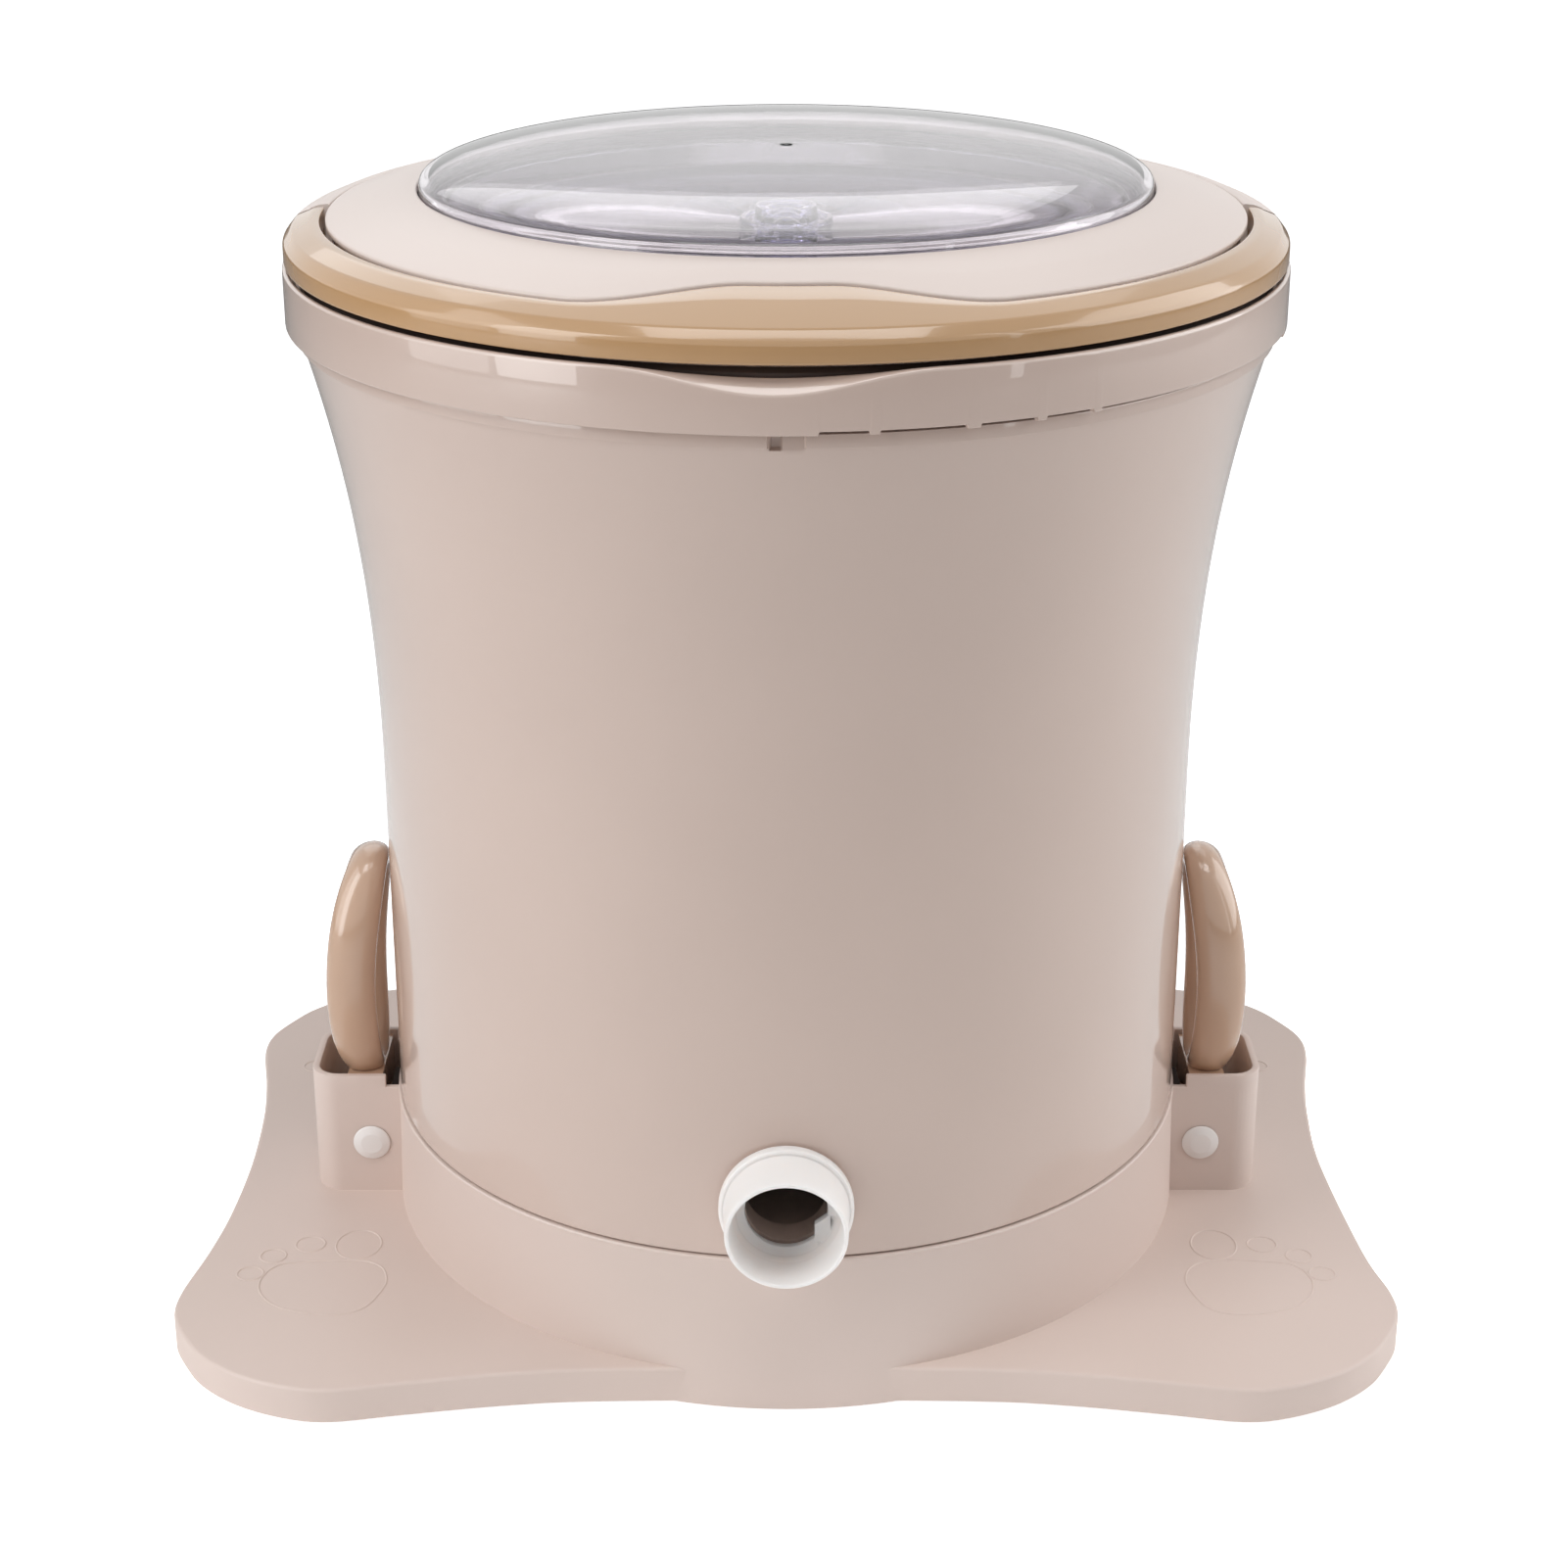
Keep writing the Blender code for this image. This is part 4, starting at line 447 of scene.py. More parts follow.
def angles(start=0.0, end=360.0, step=2.5, fine=()):
    """Angles in radians from start to end in degrees, with a finer step inside the (from, to, step) spans."""
    spots = {round(start + i * step, 4) for i in range(int((end - start) / step + 1.001))}
    for low, high, close in fine:
        spots |= {round(low + i * close, 4) for i in range(int((high - low) / close + 1.001))}
    return [spot * degree for spot in sorted(spots) if start <= spot <= end]


def lathe(name, corners, steps=96, bends=4):
    profile = rounded(corners, bends)
    return skinned(name, [at_angle(profile, i * math.tau / steps) for i in range(steps)])

# %% [markdown]
# Holes and bosses are cut and joined with the Boolean modifier and baked into the mesh at once, because a piece
# must stand at the origin with nothing live on it.

# %% Cutting and joining


def bake(piece):
    graph = bpy.context.evaluated_depsgraph_get()
    mesh = bpy.data.meshes.new_from_object(piece.evaluated_get(graph))
    piece.modifiers.clear()
    piece.data = mesh
    return piece


def join(helper):
    return "UNION", helper


def cut(helper):
    return "DIFFERENCE", helper


def combine(piece, *steps):
    """Joins or cuts with helpers, given as join(helper) or cut(helper), and bakes the result."""
    for operation, helper in steps:
        modifier = piece.modifiers.new(operation.lower(), "BOOLEAN")
        modifier.operation = operation
        modifier.object = helper
    bake(piece)
    for _, helper in steps:
        bpy.data.objects.remove(helper, do_unlink=True)
    return piece


def placed(piece, axis, at):
    """Turns a lathe shape from the Z axis to another one and moves it to its place."""
    turn = {"Z": Matrix.Identity(4), "X": Matrix.Rotation(90 * degree, 4, "Y"),
            "Y": Matrix.Rotation(-90 * degree, 4, "X")}[axis]
    piece.data.transform(Matrix.Translation(Vector(at) * mm) @ turn)
    return piece


def drum(radius, low, high, axis="Z", at=(0, 0, 0), steps=48):
    """A plain round helper along an axis, for a hole or a boss."""
    return placed(lathe("drum", [(0, low, 0), (radius, low, 0), (radius, high, 0), (0, high, 0)], steps), axis, at)


def pushed(outline, low, high, axis="Z"):
    """An outline pushed along an axis: (x, y) along Z, (y, z) along X or (x, z) along Y."""
    def put(u, v, w):
        return {"Z": (u, v, w), "X": (w, u, v), "Y": (u, w, v)}[axis]
    return skinned("pushed", [[put(u, v, w) for u, v in outline] for w in (low, high)], closed=False)


def block(low, high):
    (x1, y1, z1), (x2, y2, z2) = low, high
    return pushed([(x1, y1), (x2, y1), (x2, y2), (x1, y2)], z1, z2)

# %% [markdown]
# ## The barrel
# The wall is straight for the lower half and then flares outward faster and faster towards the rim. A power
# curve gives that line with three numbers. A narrow ledge runs under the rim, with a small break at the front.

# %% Barrel wall
barrel_radius, wall, neck, neck_top = 133.0, 2.8, 150.6, 330
flare_start, flare_gain, flare_power = 165.0, 18.2, 2.394
ledge_radius, ledge_low, ledge_high = 152.4, 315.3, 319.6
nest_radius, nest_bore, nest_foot, shoulder = 129.9, 127.1, 26, 54.3
floor_low, floor_high, floor_bore = 54.4, 57.4, 30
spout_z, boss_radius, drain_bore = 73.4, 19.2, 12.5


def barrel_outside(z):
    return barrel_radius + flare_gain * (max(0.0, z - flare_start) / (ledge_low - flare_start)) ** flare_power


flare = [flare_start + i * (ledge_low - flare_start) / 30 for i in range(31)]
straight = [56 + i * 3 for i in range(14)] + [98 + i * 8 for i in range(9)]


def barrel_section(angle):
    """The wall's outline at one angle. The ledge stops for a gap at the front, where a small notch goes deeper."""
    across = barrel_radius * math.cos(angle) if math.sin(angle) < 0 else barrel_radius
    ledge = ledge_radius
    if -4.4 < across < 4.4:
        ledge = 150.9
    if -4.0 < across < -1.2:
        ledge = 149.3
    outer = [(nest_radius, nest_foot, 0.4), (nest_radius, shoulder, 0.2), (barrel_radius, shoulder, 0.9)]
    outer += [(barrel_outside(z), z, 0) for z in straight + flare[:-1] + [ledge_low - 2, ledge_low - 0.7]]
    outer += [(min(151.15, ledge), ledge_low, 0.2), (ledge, ledge_low + 0.2, 0.3), (ledge, ledge_high, 0.4),
              (neck, ledge_high, 0.2), (neck, neck_top, 0.4), (neck - wall, neck_top, 0.4)]
    inner = [(barrel_outside(z) - wall, z, 0) for z in reversed(flare)]
    inner += [(barrel_radius - wall, 60, 1.5), (nest_bore, floor_high, 0.4), (floor_bore, floor_high, 0),
              (floor_bore, floor_low, 0), (nest_bore, floor_low, 0.4), (nest_bore, nest_foot, 0.4)]
    return at_angle(rounded(outer + inner, 3), angle)


turns = angles(0, 357.5, 2.5, ((256, 284, 1.0), (267.4, 272.6, 0.2)))
barrel = skinned("barrel_wall", [barrel_section(angle) for angle in turns])
combine(barrel, join(drum(boss_radius, -133.6, -124, "Y", (0, 0, spout_z))),
        cut(drum(drain_bore, -150, -118, "Y", (0, 0, spout_z))))
finish_piece(barrel, taupe_gloss, "barrel", ["outer_barrel"], 28)

# %% [markdown]
# ## The rim
# The rim is a band pressed over the barrel's neck. Its top edge dips at the front in a soft scallop, so that
# fingers can get under the bail, and on one side its lower edge stands off the ledge between short bridges. Both
# are functions of the angle, so each section of the band is built a little differently. A channel runs round its
# top, and a dark ring laid in it is painted shade, so the gap under the bail looks into a dark space.

# %% Rim band
rim_radius, rim_low, rim_top = 155.9, 319.9, 337.6
scallop_depth, scallop_half, scallop_shift = 6.4, 46, 4
channel_floor, channel_bore = 333.9, 147.6
slot_gap, slot_spans = 1.1, ((8.8, 22), (25.3, 48.6), (52.3, 68.5), (71, 84.6), (86.4, 150))


def rim_section(angle):
    across = rim_radius * math.cos(angle)
    front = math.sin(angle) < 0
    dip = scallop_depth * hump((across + scallop_shift) / scallop_half) if front else 0.0
    raised = front and any(low < across < high for low, high in slot_spans)
    low = rim_low + (slot_gap if raised else 0.0)
    lip = 154.0 - 0.4 * dip
    corners = [(rim_radius, low, 0.5), (rim_radius, rim_top - 0.3 - dip, 1.3), (lip, rim_top - 0.4 * dip, 0.8),
               (lip - 0.1, channel_floor, 0.4), (channel_bore, channel_floor, 0.4), (147.4, rim_top, 0.8),
               (136, rim_top, 0.5), (136, 335.1, 0.4), (147, 335.1, 0), (147, 330.3, 0), (153.4, 330.3, 0.3),
               (153.4, low, 0.4)]
    return at_angle(rounded(corners), angle)


slot_ends = [270 + math.degrees(math.asin(x / rim_radius)) for span in slot_spans for x in span]
turns = angles(0, 357.5, 2.5, [(250, 290, 1.25)] + [(end - 0.3, end + 0.3, 0.15) for end in slot_ends])
rim = skinned("rim_band", [rim_section(angle) for angle in turns])
pivot_y, pivot_z, ear_radius, ear_foot = -4.8, 343.2, 3.5, 333.7
ears = []
for side in (1, -1):
    outline = [(pivot_y - ear_radius, ear_foot), (pivot_y + ear_radius, ear_foot)]
    low, high = sorted((side * 146.3, side * 149.4))
    ears += [join(pushed(outline + arc(pivot_y, pivot_z, ear_radius, 0, 181, 15), low, high, "X")),
             cut(drum(1.9, low - 2, high + 2, "X", (0, pivot_y, pivot_z), 24))]
finish_piece(combine(rim, *ears), taupe_gloss, "barrel", ["rim_ring"])
# Painted shade: a dark ring in the channel makes the gap under the bail read as deep shadow.
gap_shade_ring = lathe("rim_gap_shade_ring", [(151.0, 333.8, 0), (151.0, 336.0, 0.4), (148.2, 337.2, 0.4), (147.7, 333.8, 0)], 120)
finish_piece(gap_shade_ring, rubber, "barrel")

# %% [markdown]
# ## The bail
# The bail is a half ring with a rounded top that lies on the rim. At the front it grows inward into a broad grip,
# a smooth wave in its inner edge. Lid and bail share one sloping surface, so both read its height from one
# function and the seam between them stays even.

# %% Shared slope and grip wave
dome_hole, dome_hole_z, slope = 113.8, 359.4, 0.281
grip_depth, grip_start, grip_full = 14.2, 25.4, 4.8
bail_bore, ring_radius, ring_wall = 143.5, 155.3, 2


def top_height(radius):
    return dome_hole_z - slope * (radius - dome_hole)


def grip_reach(angle):
    """How far the grip runs inward, by the angle from the front in radians."""
    return grip_depth * smooth((grip_start - abs(angle) / degree) / (grip_start - grip_full))


def ring_section(angle, bore, bottom):
    """A channel: rounded top, straight sides, open below."""
    crown = 0.5 + 0.05 * (bail_bore - bore)
    middle, inside = (bore + 150) / 2, ring_radius - ring_wall
    corners = [(ring_radius, bottom, 0.9), (ring_radius, 344.9, 2.6), (152.6, 348.2, 3.2),
               (middle, top_height(middle) + crown, 6), (bore + 0.2, top_height(bore) - 0.1, 0.9),
               (bore, bottom, 0.4), (bore + ring_wall, bottom, 0.3),
               (bore + ring_wall, top_height(bore) - ring_wall, 0), (149.2, 346.9, 0), (inside, 343.3, 0),
               (inside, bottom, 0.3)]
    return at_angle(rounded(corners, 5), angle)

# %% Bail handle
turns = angles(-180, 0, 2.0, ((-122, -58, 1.0),))
bail = skinned("bail_moulding", [ring_section(a, bail_bore - grip_reach(a + math.pi / 2), 338.9) for a in turns],
               closed=False)
wedge = [(3, 338), (3, 345.8), (-3.5, 337.8)]
cuts = []
for side in (1, -1):
    cuts += [cut(pushed(wedge, *sorted((side * 138, side * 160)), "X")),
             cut(drum(1.95, *sorted((side * 140, side * 154.3)), "X", (0, pivot_y, pivot_z), 24))]
finish_piece(combine(bail, *cuts), tan, "bail", ["bail_handle"])

# %% [markdown]
# Behind, a pale cover completes the ring and holds the lid's hinge. Its ends are hollowed to the circle that the
# end of the bail sweeps as it is lifted. A notch in the middle takes the two knuckles of the lid.

# %% Rear cover
hinge_y, hinge_z = 147, 345
turns = angles(0.16, 179.84, 2.0, ((178, 179.84, 1.84),))
cover = skinned("rear_cover_moulding", [ring_section(a, 142.45, 337.9) for a in turns], closed=False)
seat_half, seat_radius, seat_back = 29, 143.45, 151.8
seat_turns = [math.asin(seat_half / seat_radius) * s / 6 for s in range(6, -7, -1)]
hinge_seat = [(seat_radius * math.sin(turn), seat_radius * math.cos(turn)) for turn in seat_turns]
hinge_seat += [(-seat_half, seat_back), (seat_half, seat_back)]
combine(cover, join(pushed(hinge_seat, 338.2, 348.6)), cut(block((-21, 128, 340.3), (21, 152.2, 359))),
        cut(drum(2.3, -27.3, 27.3, "X", (0, hinge_y, hinge_z), 24)),
        cut(drum(9.5, -156, 156, "X", (0, pivot_y, pivot_z), 64)),
        *(cut(block((low, pivot_y, 345.6), (high, 3.7, 362))) for low, high in ((-148.6, -138.4), (138.4, 148.6))))
finish_piece(cover, blush, "barrel", ["rear_cover"])

# %% [markdown]
# ## The lid
# The lid is a pale ring that rises gently from the bail to the dome. Its outer edge follows the grip's wave with
# a narrow, even gap. Two knuckles behind carry it on the hinge pin.

# %% Lid ring
lid_radius, lid_wall, lid_foot = 142, 2.4, 339.4


def lid_section(angle):
    outer = lid_radius - grip_reach(angle + math.pi / 2)
    skirt, middle = outer - 2.6, (outer + dome_hole) / 2
    corners = [(skirt, lid_foot, 0.4), (skirt, top_height(outer) - 5.2, 1.0), (outer, top_height(outer) - 1.6, 0.8),
               (outer, top_height(outer), 1.1), (middle, top_height(middle) + 0.35, 8),
               (dome_hole, dome_hole_z, 0.9), (dome_hole, dome_hole_z - lid_wall, 0.2),
               (middle, top_height(middle) - lid_wall, 0), (skirt - lid_wall, top_height(skirt) - lid_wall, 0),
               (skirt - lid_wall, lid_foot, 0.4)]
    return at_angle(rounded(corners, 5), angle)


turns = angles(-270, 87.5, 2.5, ((-122, -58, 1.25),))
lid = skinned("lid_moulding", [lid_section(a) for a in turns])
knuckle, knuckle_root, knuckles = 4.2, 137.2, []
for side in (1, -1):
    outline = arc(hinge_y, hinge_z, knuckle, 90, -91, -12)
    outline += [(knuckle_root, hinge_z - knuckle), (knuckle_root, hinge_z + knuckle)]
    knuckles.append(join(pushed(outline, *sorted((side * 9, side * 19)), "X")))
knuckles.append(cut(drum(2.35, -25, 25, "X", (0, hinge_y, hinge_z), 24)))
finish_piece(combine(lid, *knuckles), blush, "lid", ["lid_ring"])

# %% [markdown]
# ## The clear dome
# The dome is a shallow shell, steep at its edge and nearly flat on top, with the small mark of the moulding gate
# in the middle. One power curve gives its height, because a chain of short arcs would show as rings in the
# reflections. Under it a clear dish holds the hub that steadies the basket's spindle. In front of the hub a small
# pair of arches stands on a bar.

# %% Dome window
dome_radius, dome_bore, dome_foot, dome_under = 113.4, 111.3, 360.05, 358.1
flange_radius, flange_low, flange_high = 115.6, 353.4, 355.2


def dome_height(share):
    """Height of the dome's face above its edge, by the share of its radius."""
    return 10.1 * (1 - share ** 3.4) ** 0.42


shares = [math.sin(math.pi / 2 * i / 44) for i in range(44, 0, -1)]
shell = [(flange_radius, flange_low, 0.2), (flange_radius, flange_high, 0.2), (dome_radius, flange_high, 0.3)]
shell += [(dome_radius * s, dome_foot + dome_height(s), 0) for s in shares if s > 0.02]
shell += [(2.0, 370.15, 0.3), (1.7, 369.7, 0.2), (0, 369.7, 0), (0, 368.2, 0)]
shell += [(dome_bore * s, dome_under + dome_height(s), 0) for s in reversed(shares) if s > 0.02]
shell += [(dome_bore, flange_low, 0.3)]
finish_piece(lathe("dome_shell", shell, 128, 6), dome_clear, "lid", ["dome_window"], 50)

# %% Inner cover with its bridge and hub
dish = [(115.6, 350.9, 0.3), (115.6, 353.1, 0.3), (106, 353.1, 1.5), (100, 345, 1.5), (14.5, 345, 0.4),
        (14.5, 346.6, 0.4), (12.6, 346.6, 0.4), (12.6, 345.4, 0.3), (9.8, 345.4, 0.3), (9.6, 350.2, 0.4),
        (8.5, 350.2, 0.3), (8.3, 347.4, 0.3), (6.6, 347.4, 0.3), (6.4, 349.6, 0.3), (5.4, 349.6, 0.3),
        (5.2, 346.6, 0.3), (2.2, 346.6, 0.3), (1.8, 348.4, 0.5), (0, 348.8, 0), (0, 344, 0), (7.3, 344, 0.2),
        (7.3, 336, 0.2), (10.2, 336, 0.3), (10.2, 343, 0.4), (100, 343, 1.0), (106, 350.9, 1.0)]
inner = lathe("inner_dish", dish)
bow_half, bow_depth, bow_root, arch_foot = 66, 15, -18, 345.6
bow = [(-bow_half, bow_root), (bow_half, bow_root)]
bow += [(bow_half * math.cos(a * degree), bow_root - bow_depth * math.sin(a * degree)) for a in range(0, 181, 10)]
parts = [join(pushed(bow, 344.2, 346.8)), join(block((-19.5, -32, 344.4), (19.5, -25.5, 348)))]
for radius, thick in ((9.3, 1.3), (6.2, 1.1)):
    arch = arc(0, arch_foot, radius, 0, 181, 9) + arc(0, arch_foot, radius - thick, 180, -1, -9)
    parts.append(join(pushed(arch, -30, -27.5, "Y")))
parts.append(join(drum(2.3, -30.4, -27, "Y", (0, 0, 349.4), 24)))
finish_piece(combine(inner, *parts), cover_clear, "lid", ["inner_cover"], 40)

# %% [markdown]
# ## The drain spout
# Water leaves through a white stub that is screwed into the barrel. It is a lathe shape turned to face forward,
# with a thin lip. Its mouth leans forward at the top, so the vertices near it are moved by their height. A small
# rib stands inside at the right.

# %% Spout
stub = [(12.6, -135.2, 0.3), (12.6, -137.4, 0.5), (15.4, -138.4, 1.2), (16.6, -140.4, 1.2),
        (17.3, -152, 0.5), (18.6, -152, 0.6), (18.9, -146, 0.6), (19.2, -137.6, 0.8), (20.65, -137.4, 0.9),
        (20.65, -133.9, 0.6), (16.4, -133.9, 0.2), (14.6, -135.2, 0.3)]
spout = placed(lathe("spout_stub", stub), "Y", (0, 0, spout_z))
lean, lip_radius = 0.067, 18.6
for vertex in spout.data.vertices:
    out = min(1.0, max(0.0, (-140 * mm - vertex.co.y) / (12 * mm)))
    vertex.co.y -= lean * out * (vertex.co.z - (spout_z - lip_radius) * mm)
rib = pushed([(x, spout_z + z) for x, z in ((8.6, -10.2), (8.6, -4.5), (13.4, -1.0), (13.4, -10.2))],
             -138.1, -135.5, "Y")
finish_piece(combine(spout, join(rib)), milky_white, "barrel", ["drain_spout"])

# %% [markdown]
# ## The foot base
# The plate is one moulding: four broad lobes for the feet and the corners, a collar that the barrel nests in, and
# a bracket on each side for the latches. A smooth curve through a few measured points gives the plate's outline.

# %% Plate outline
half_width, half_depth = 198.15, 142.8
lobe = ((0.953, 0), (0.96, 0.245), (0.975, 0.42), (0.998, 0.6), (0.995, 0.7), (0.966, 0.79), (0.93, 0.865),
        (0.87, 0.935), (0.79, 0.985), (0.715, 1), (0.6, 0.972), (0.45, 0.938), (0.3, 0.92), (0, 0.9165))


def curve_through(points, between):
    """A closed Catmull-Rom curve through every point."""
    result = []
    for i in range(len(points)):
        before, start, end, after = (Vector(points[(i + n) % len(points)]) for n in (-1, 0, 1, 2))
        for step in range(between):
            t = step / between
            result.append((start * 2 + (end - before) * t + (before * 2 - start * 5 + end * 4 - after) * t ** 2
                           + (start * 3 - before - end * 3 + after) * t ** 3) * 0.5)
    return result


def inward(outline, distance):
    moved = []
    for i, point in enumerate(outline):
        along = (outline[(i + 1) % len(outline)] - outline[i - 1]).normalized()
        moved.append(point + Vector((-along.y, along.x)) * distance)
    return moved


quarter = [(x * half_width, y * half_depth) for x, y in lobe]
rear_left = [(-x, y) for x, y in reversed(quarter[:-1])]
front_left = [(x, -y) for x, y in reversed(rear_left[:-1])]
front_right = [(x, -y) for x, y in reversed(quarter[1:])][:-1]
plate_line = curve_through(quarter + rear_left + front_left + front_right, 6)

# %% Plate with its hollow underside
plate_top = 13.2
edge = 1.3
levels = [(3, plate_top - 3), (3, 1.2), (0.4, 1.2), (0, 1.6), (0, plate_top - edge)]
levels += [(edge * (1 - math.cos(a * degree)), plate_top - edge * (1 - math.sin(a * degree)))
           for a in (15, 30, 45, 60, 75, 90)]
plate = skinned("foot_moulding", [[(p.x, p.y, z) for p in inward(plate_line, inset)] for inset, z in levels],
                closed=False)
collar = lathe("collar", [(135.5, 1.2, 0.4), (134.5, plate_top, 0), (133.55, 52.4, 0), (133.9, 53.2, 0.3),
                          (133.6, 53.85, 0.3), (130.5, 53.85, 0.6), (130.5, 1.2, 0.4)], 144)

# %% [markdown]
# The brackets are small open boxes with rounded corners. A Bevel on each softens its lip before it is joined to
# the plate. The holes for the pins, the window for each latch pad and the sockets of the rubber feet come last.

# %% Brackets, ribs, bosses and holes
bracket_half, bracket_reach, bracket_bend, bracket_wall = 19, 163, 9.5, 2.4
pin_x, pin_z = 142.8, 32.1
rib_low, rib_high, rib_half = 4, 11.7, 1.2
corners_of_plate = ((1, 1), (1, -1), (-1, 1), (-1, -1))


def bracket(side, start, low, high):
    """A wall round three sides of a latch, with its two outer corners rounded and its lip softened."""
    bend_at = (bracket_reach - bracket_bend, bracket_half - bracket_bend)
    outer = arc(*bend_at, bracket_bend, 0, 91, 10)
    hollow = arc(*bend_at, bracket_bend - bracket_wall, 90, -1, -10)
    line = [(start, -bracket_half)] + [(x, -y) for x, y in reversed(outer)] + outer + [(start, bracket_half)]
    line += [(start, bracket_half - bracket_wall)] + hollow + [(x, -y) for x, y in reversed(hollow)]
    line += [(start, bracket_wall - bracket_half)]
    made = pushed([(side * x, y) for x, y in line], low, high)
    soften = made.modifiers.new("soften", "BEVEL")
    soften.width, soften.segments = 0.5 * mm, 2
    soften.limit_method, soften.angle_limit = "ANGLE", 60 * degree
    return bake(made)


joins = [join(collar), join(drum(36, rib_low, rib_high, steps=64))]
for side in (1, -1):
    y = side * 0.49 * half_depth
    low, high = sorted((side * 126.5, side * 136.7))
    joins += [join(block((-194, y - rib_half, rib_low), (194, y + rib_half, rib_high))),
              join(bracket(side, 130.9, rib_high, 53.3)), join(bracket(side, 137, 49.1, 57.5)),
              cut(drum(3.5, -23, 23, "Y", (side * pin_x, 0, pin_z), 32)),
              cut(block((low, -7.7, 38.8), (high, 7.7, 51.8)))]
for x, y in corners_of_plate:
    foot_place = (x * 158.88, y * 109.96, 0)
    joins += [join(drum(17, rib_low, rib_high, at=foot_place)), cut(drum(5, 0, 9.3, at=foot_place))]
joins += [cut(drum(5.2, 0, 20)), cut(drum(11, 0, 8.7))]
finish_piece(combine(plate, *joins), taupe_satin, "base", ["foot_base"], 30)

# %% [markdown]
# Thin raised lines on the lobes show where to stand: toes and the ball of a foot, drawn as closed curves. A
# Geometry Nodes tree sweeps a small bead along the curves, so the bead's size is one number.

# %% Foot outlines with a bead swept along them


def geometry_tree(name, inputs):
    """A tree with named inputs and one for the material. Returns it with its inputs and its outlet."""
    tree = bpy.data.node_groups.new(name, "GeometryNodeTree")
    tree.interface.new_socket("Geometry", in_out="INPUT", socket_type="NodeSocketGeometry")
    tree.interface.new_socket("Geometry", in_out="OUTPUT", socket_type="NodeSocketGeometry")
    for label, value in inputs.items():
        kind = "NodeSocketInt" if isinstance(value, int) else "NodeSocketFloat"
        tree.interface.new_socket(label, in_out="INPUT", socket_type=kind).default_value = value
    tree.interface.new_socket("Material", in_out="INPUT", socket_type="NodeSocketMaterial")
    return tree, tree.nodes.new("NodeGroupInput").outputs, tree.nodes.new("NodeGroupOutput").inputs[0]


def end_tree(tree, shape, given, outlet):
    """Every tree ends alike: the shape is made real and gets its material."""
    whole, dress = node(tree, "GeometryNodeRealizeInstances"), node(tree, "GeometryNodeSetMaterial")
    chain(tree, (shape, whole.inputs[0]), (whole.outputs[0], dress.inputs[0]),
          (given["Material"], dress.inputs["Material"]), (dress.outputs[0], outlet))


def apply_tree(piece, tree, material):
    """Puts the tree on the piece, sets its material by the input's identifier and bakes the result."""
    modifier = piece.modifiers.new(tree.name, "NODES")
    modifier.node_group = tree
    modifier[tree.interface.items_tree["Material"].identifier] = material
    return bake(piece)


bead, given, outlet = geometry_tree("bead_along_lines", {"Bead radius": 0.46 * mm})
to_curve = node(bead, "GeometryNodeMeshToCurve")
round_bead = node(bead, "GeometryNodeCurvePrimitiveCircle", Resolution=8)
sweep = node(bead, "GeometryNodeCurveToMesh")
chain(bead, (given["Geometry"], to_curve.inputs[0]), (to_curve.outputs[0], sweep.inputs["Curve"]),
      (given["Bead radius"], round_bead.inputs["Radius"]), (round_bead.outputs[0], sweep.inputs["Profile Curve"]))
end_tree(bead, sweep.outputs[0], given, outlet)


def sole_lines(side, depth):
    """Closed loops of (x, y) points in millimetres: four toes and the ball of a foot."""
    loops = []
    for x, y, wide, long in ((143.5, 55.8, 7.6, 9.4), (159.7, 55.6, 4.9, 4.9), (171, 63.1, 4.3, 4.3),
                             (176.9, 74.3, 4.3, 4.2)):
        turns = [i * math.tau / 28 for i in range(28)]
        loops.append([(x + wide * math.cos(turn), y + long * math.sin(turn)) for turn in turns])
    ball = [(141.8, 66.0), (134.1, 70.2), (131.4, 78.4), (132.4, 85.3), (135.5, 93.7), (139.8, 97.8), (147, 99.4),
            (156.8, 98), (165.5, 94.2), (171.6, 86.5), (172.8, 77.8), (168.5, 69.2), (157.5, 66.4)]
    loops.append(curve_through(ball, 5))
    return [[(side * x, depth * y) for x, y in loop] for loop in loops]


sunk = 0.2
marks = bmesh.new()
for side, depth in corners_of_plate:
    for loop in sole_lines(side, depth):
        verts = [marks.verts.new(Vector((x, y, plate_top - sunk)) * mm) for x, y in loop]
        for pair in zip(verts[-1:] + verts, verts):
            marks.edges.new(pair)
lines = apply_tree(object_from(marks, "stand_here_lines"), bead, taupe_satin)
finish_piece(lines, taupe_satin, "base")

# %% [markdown]
# ## The latches
# On each side an oval ring stands on a stem in the bracket. The ring is a tube on an oval path, a little thinner
# at the top, and bowed so that it follows the barrel. White pins with domed heads hold the stems.

# %% Latch rings


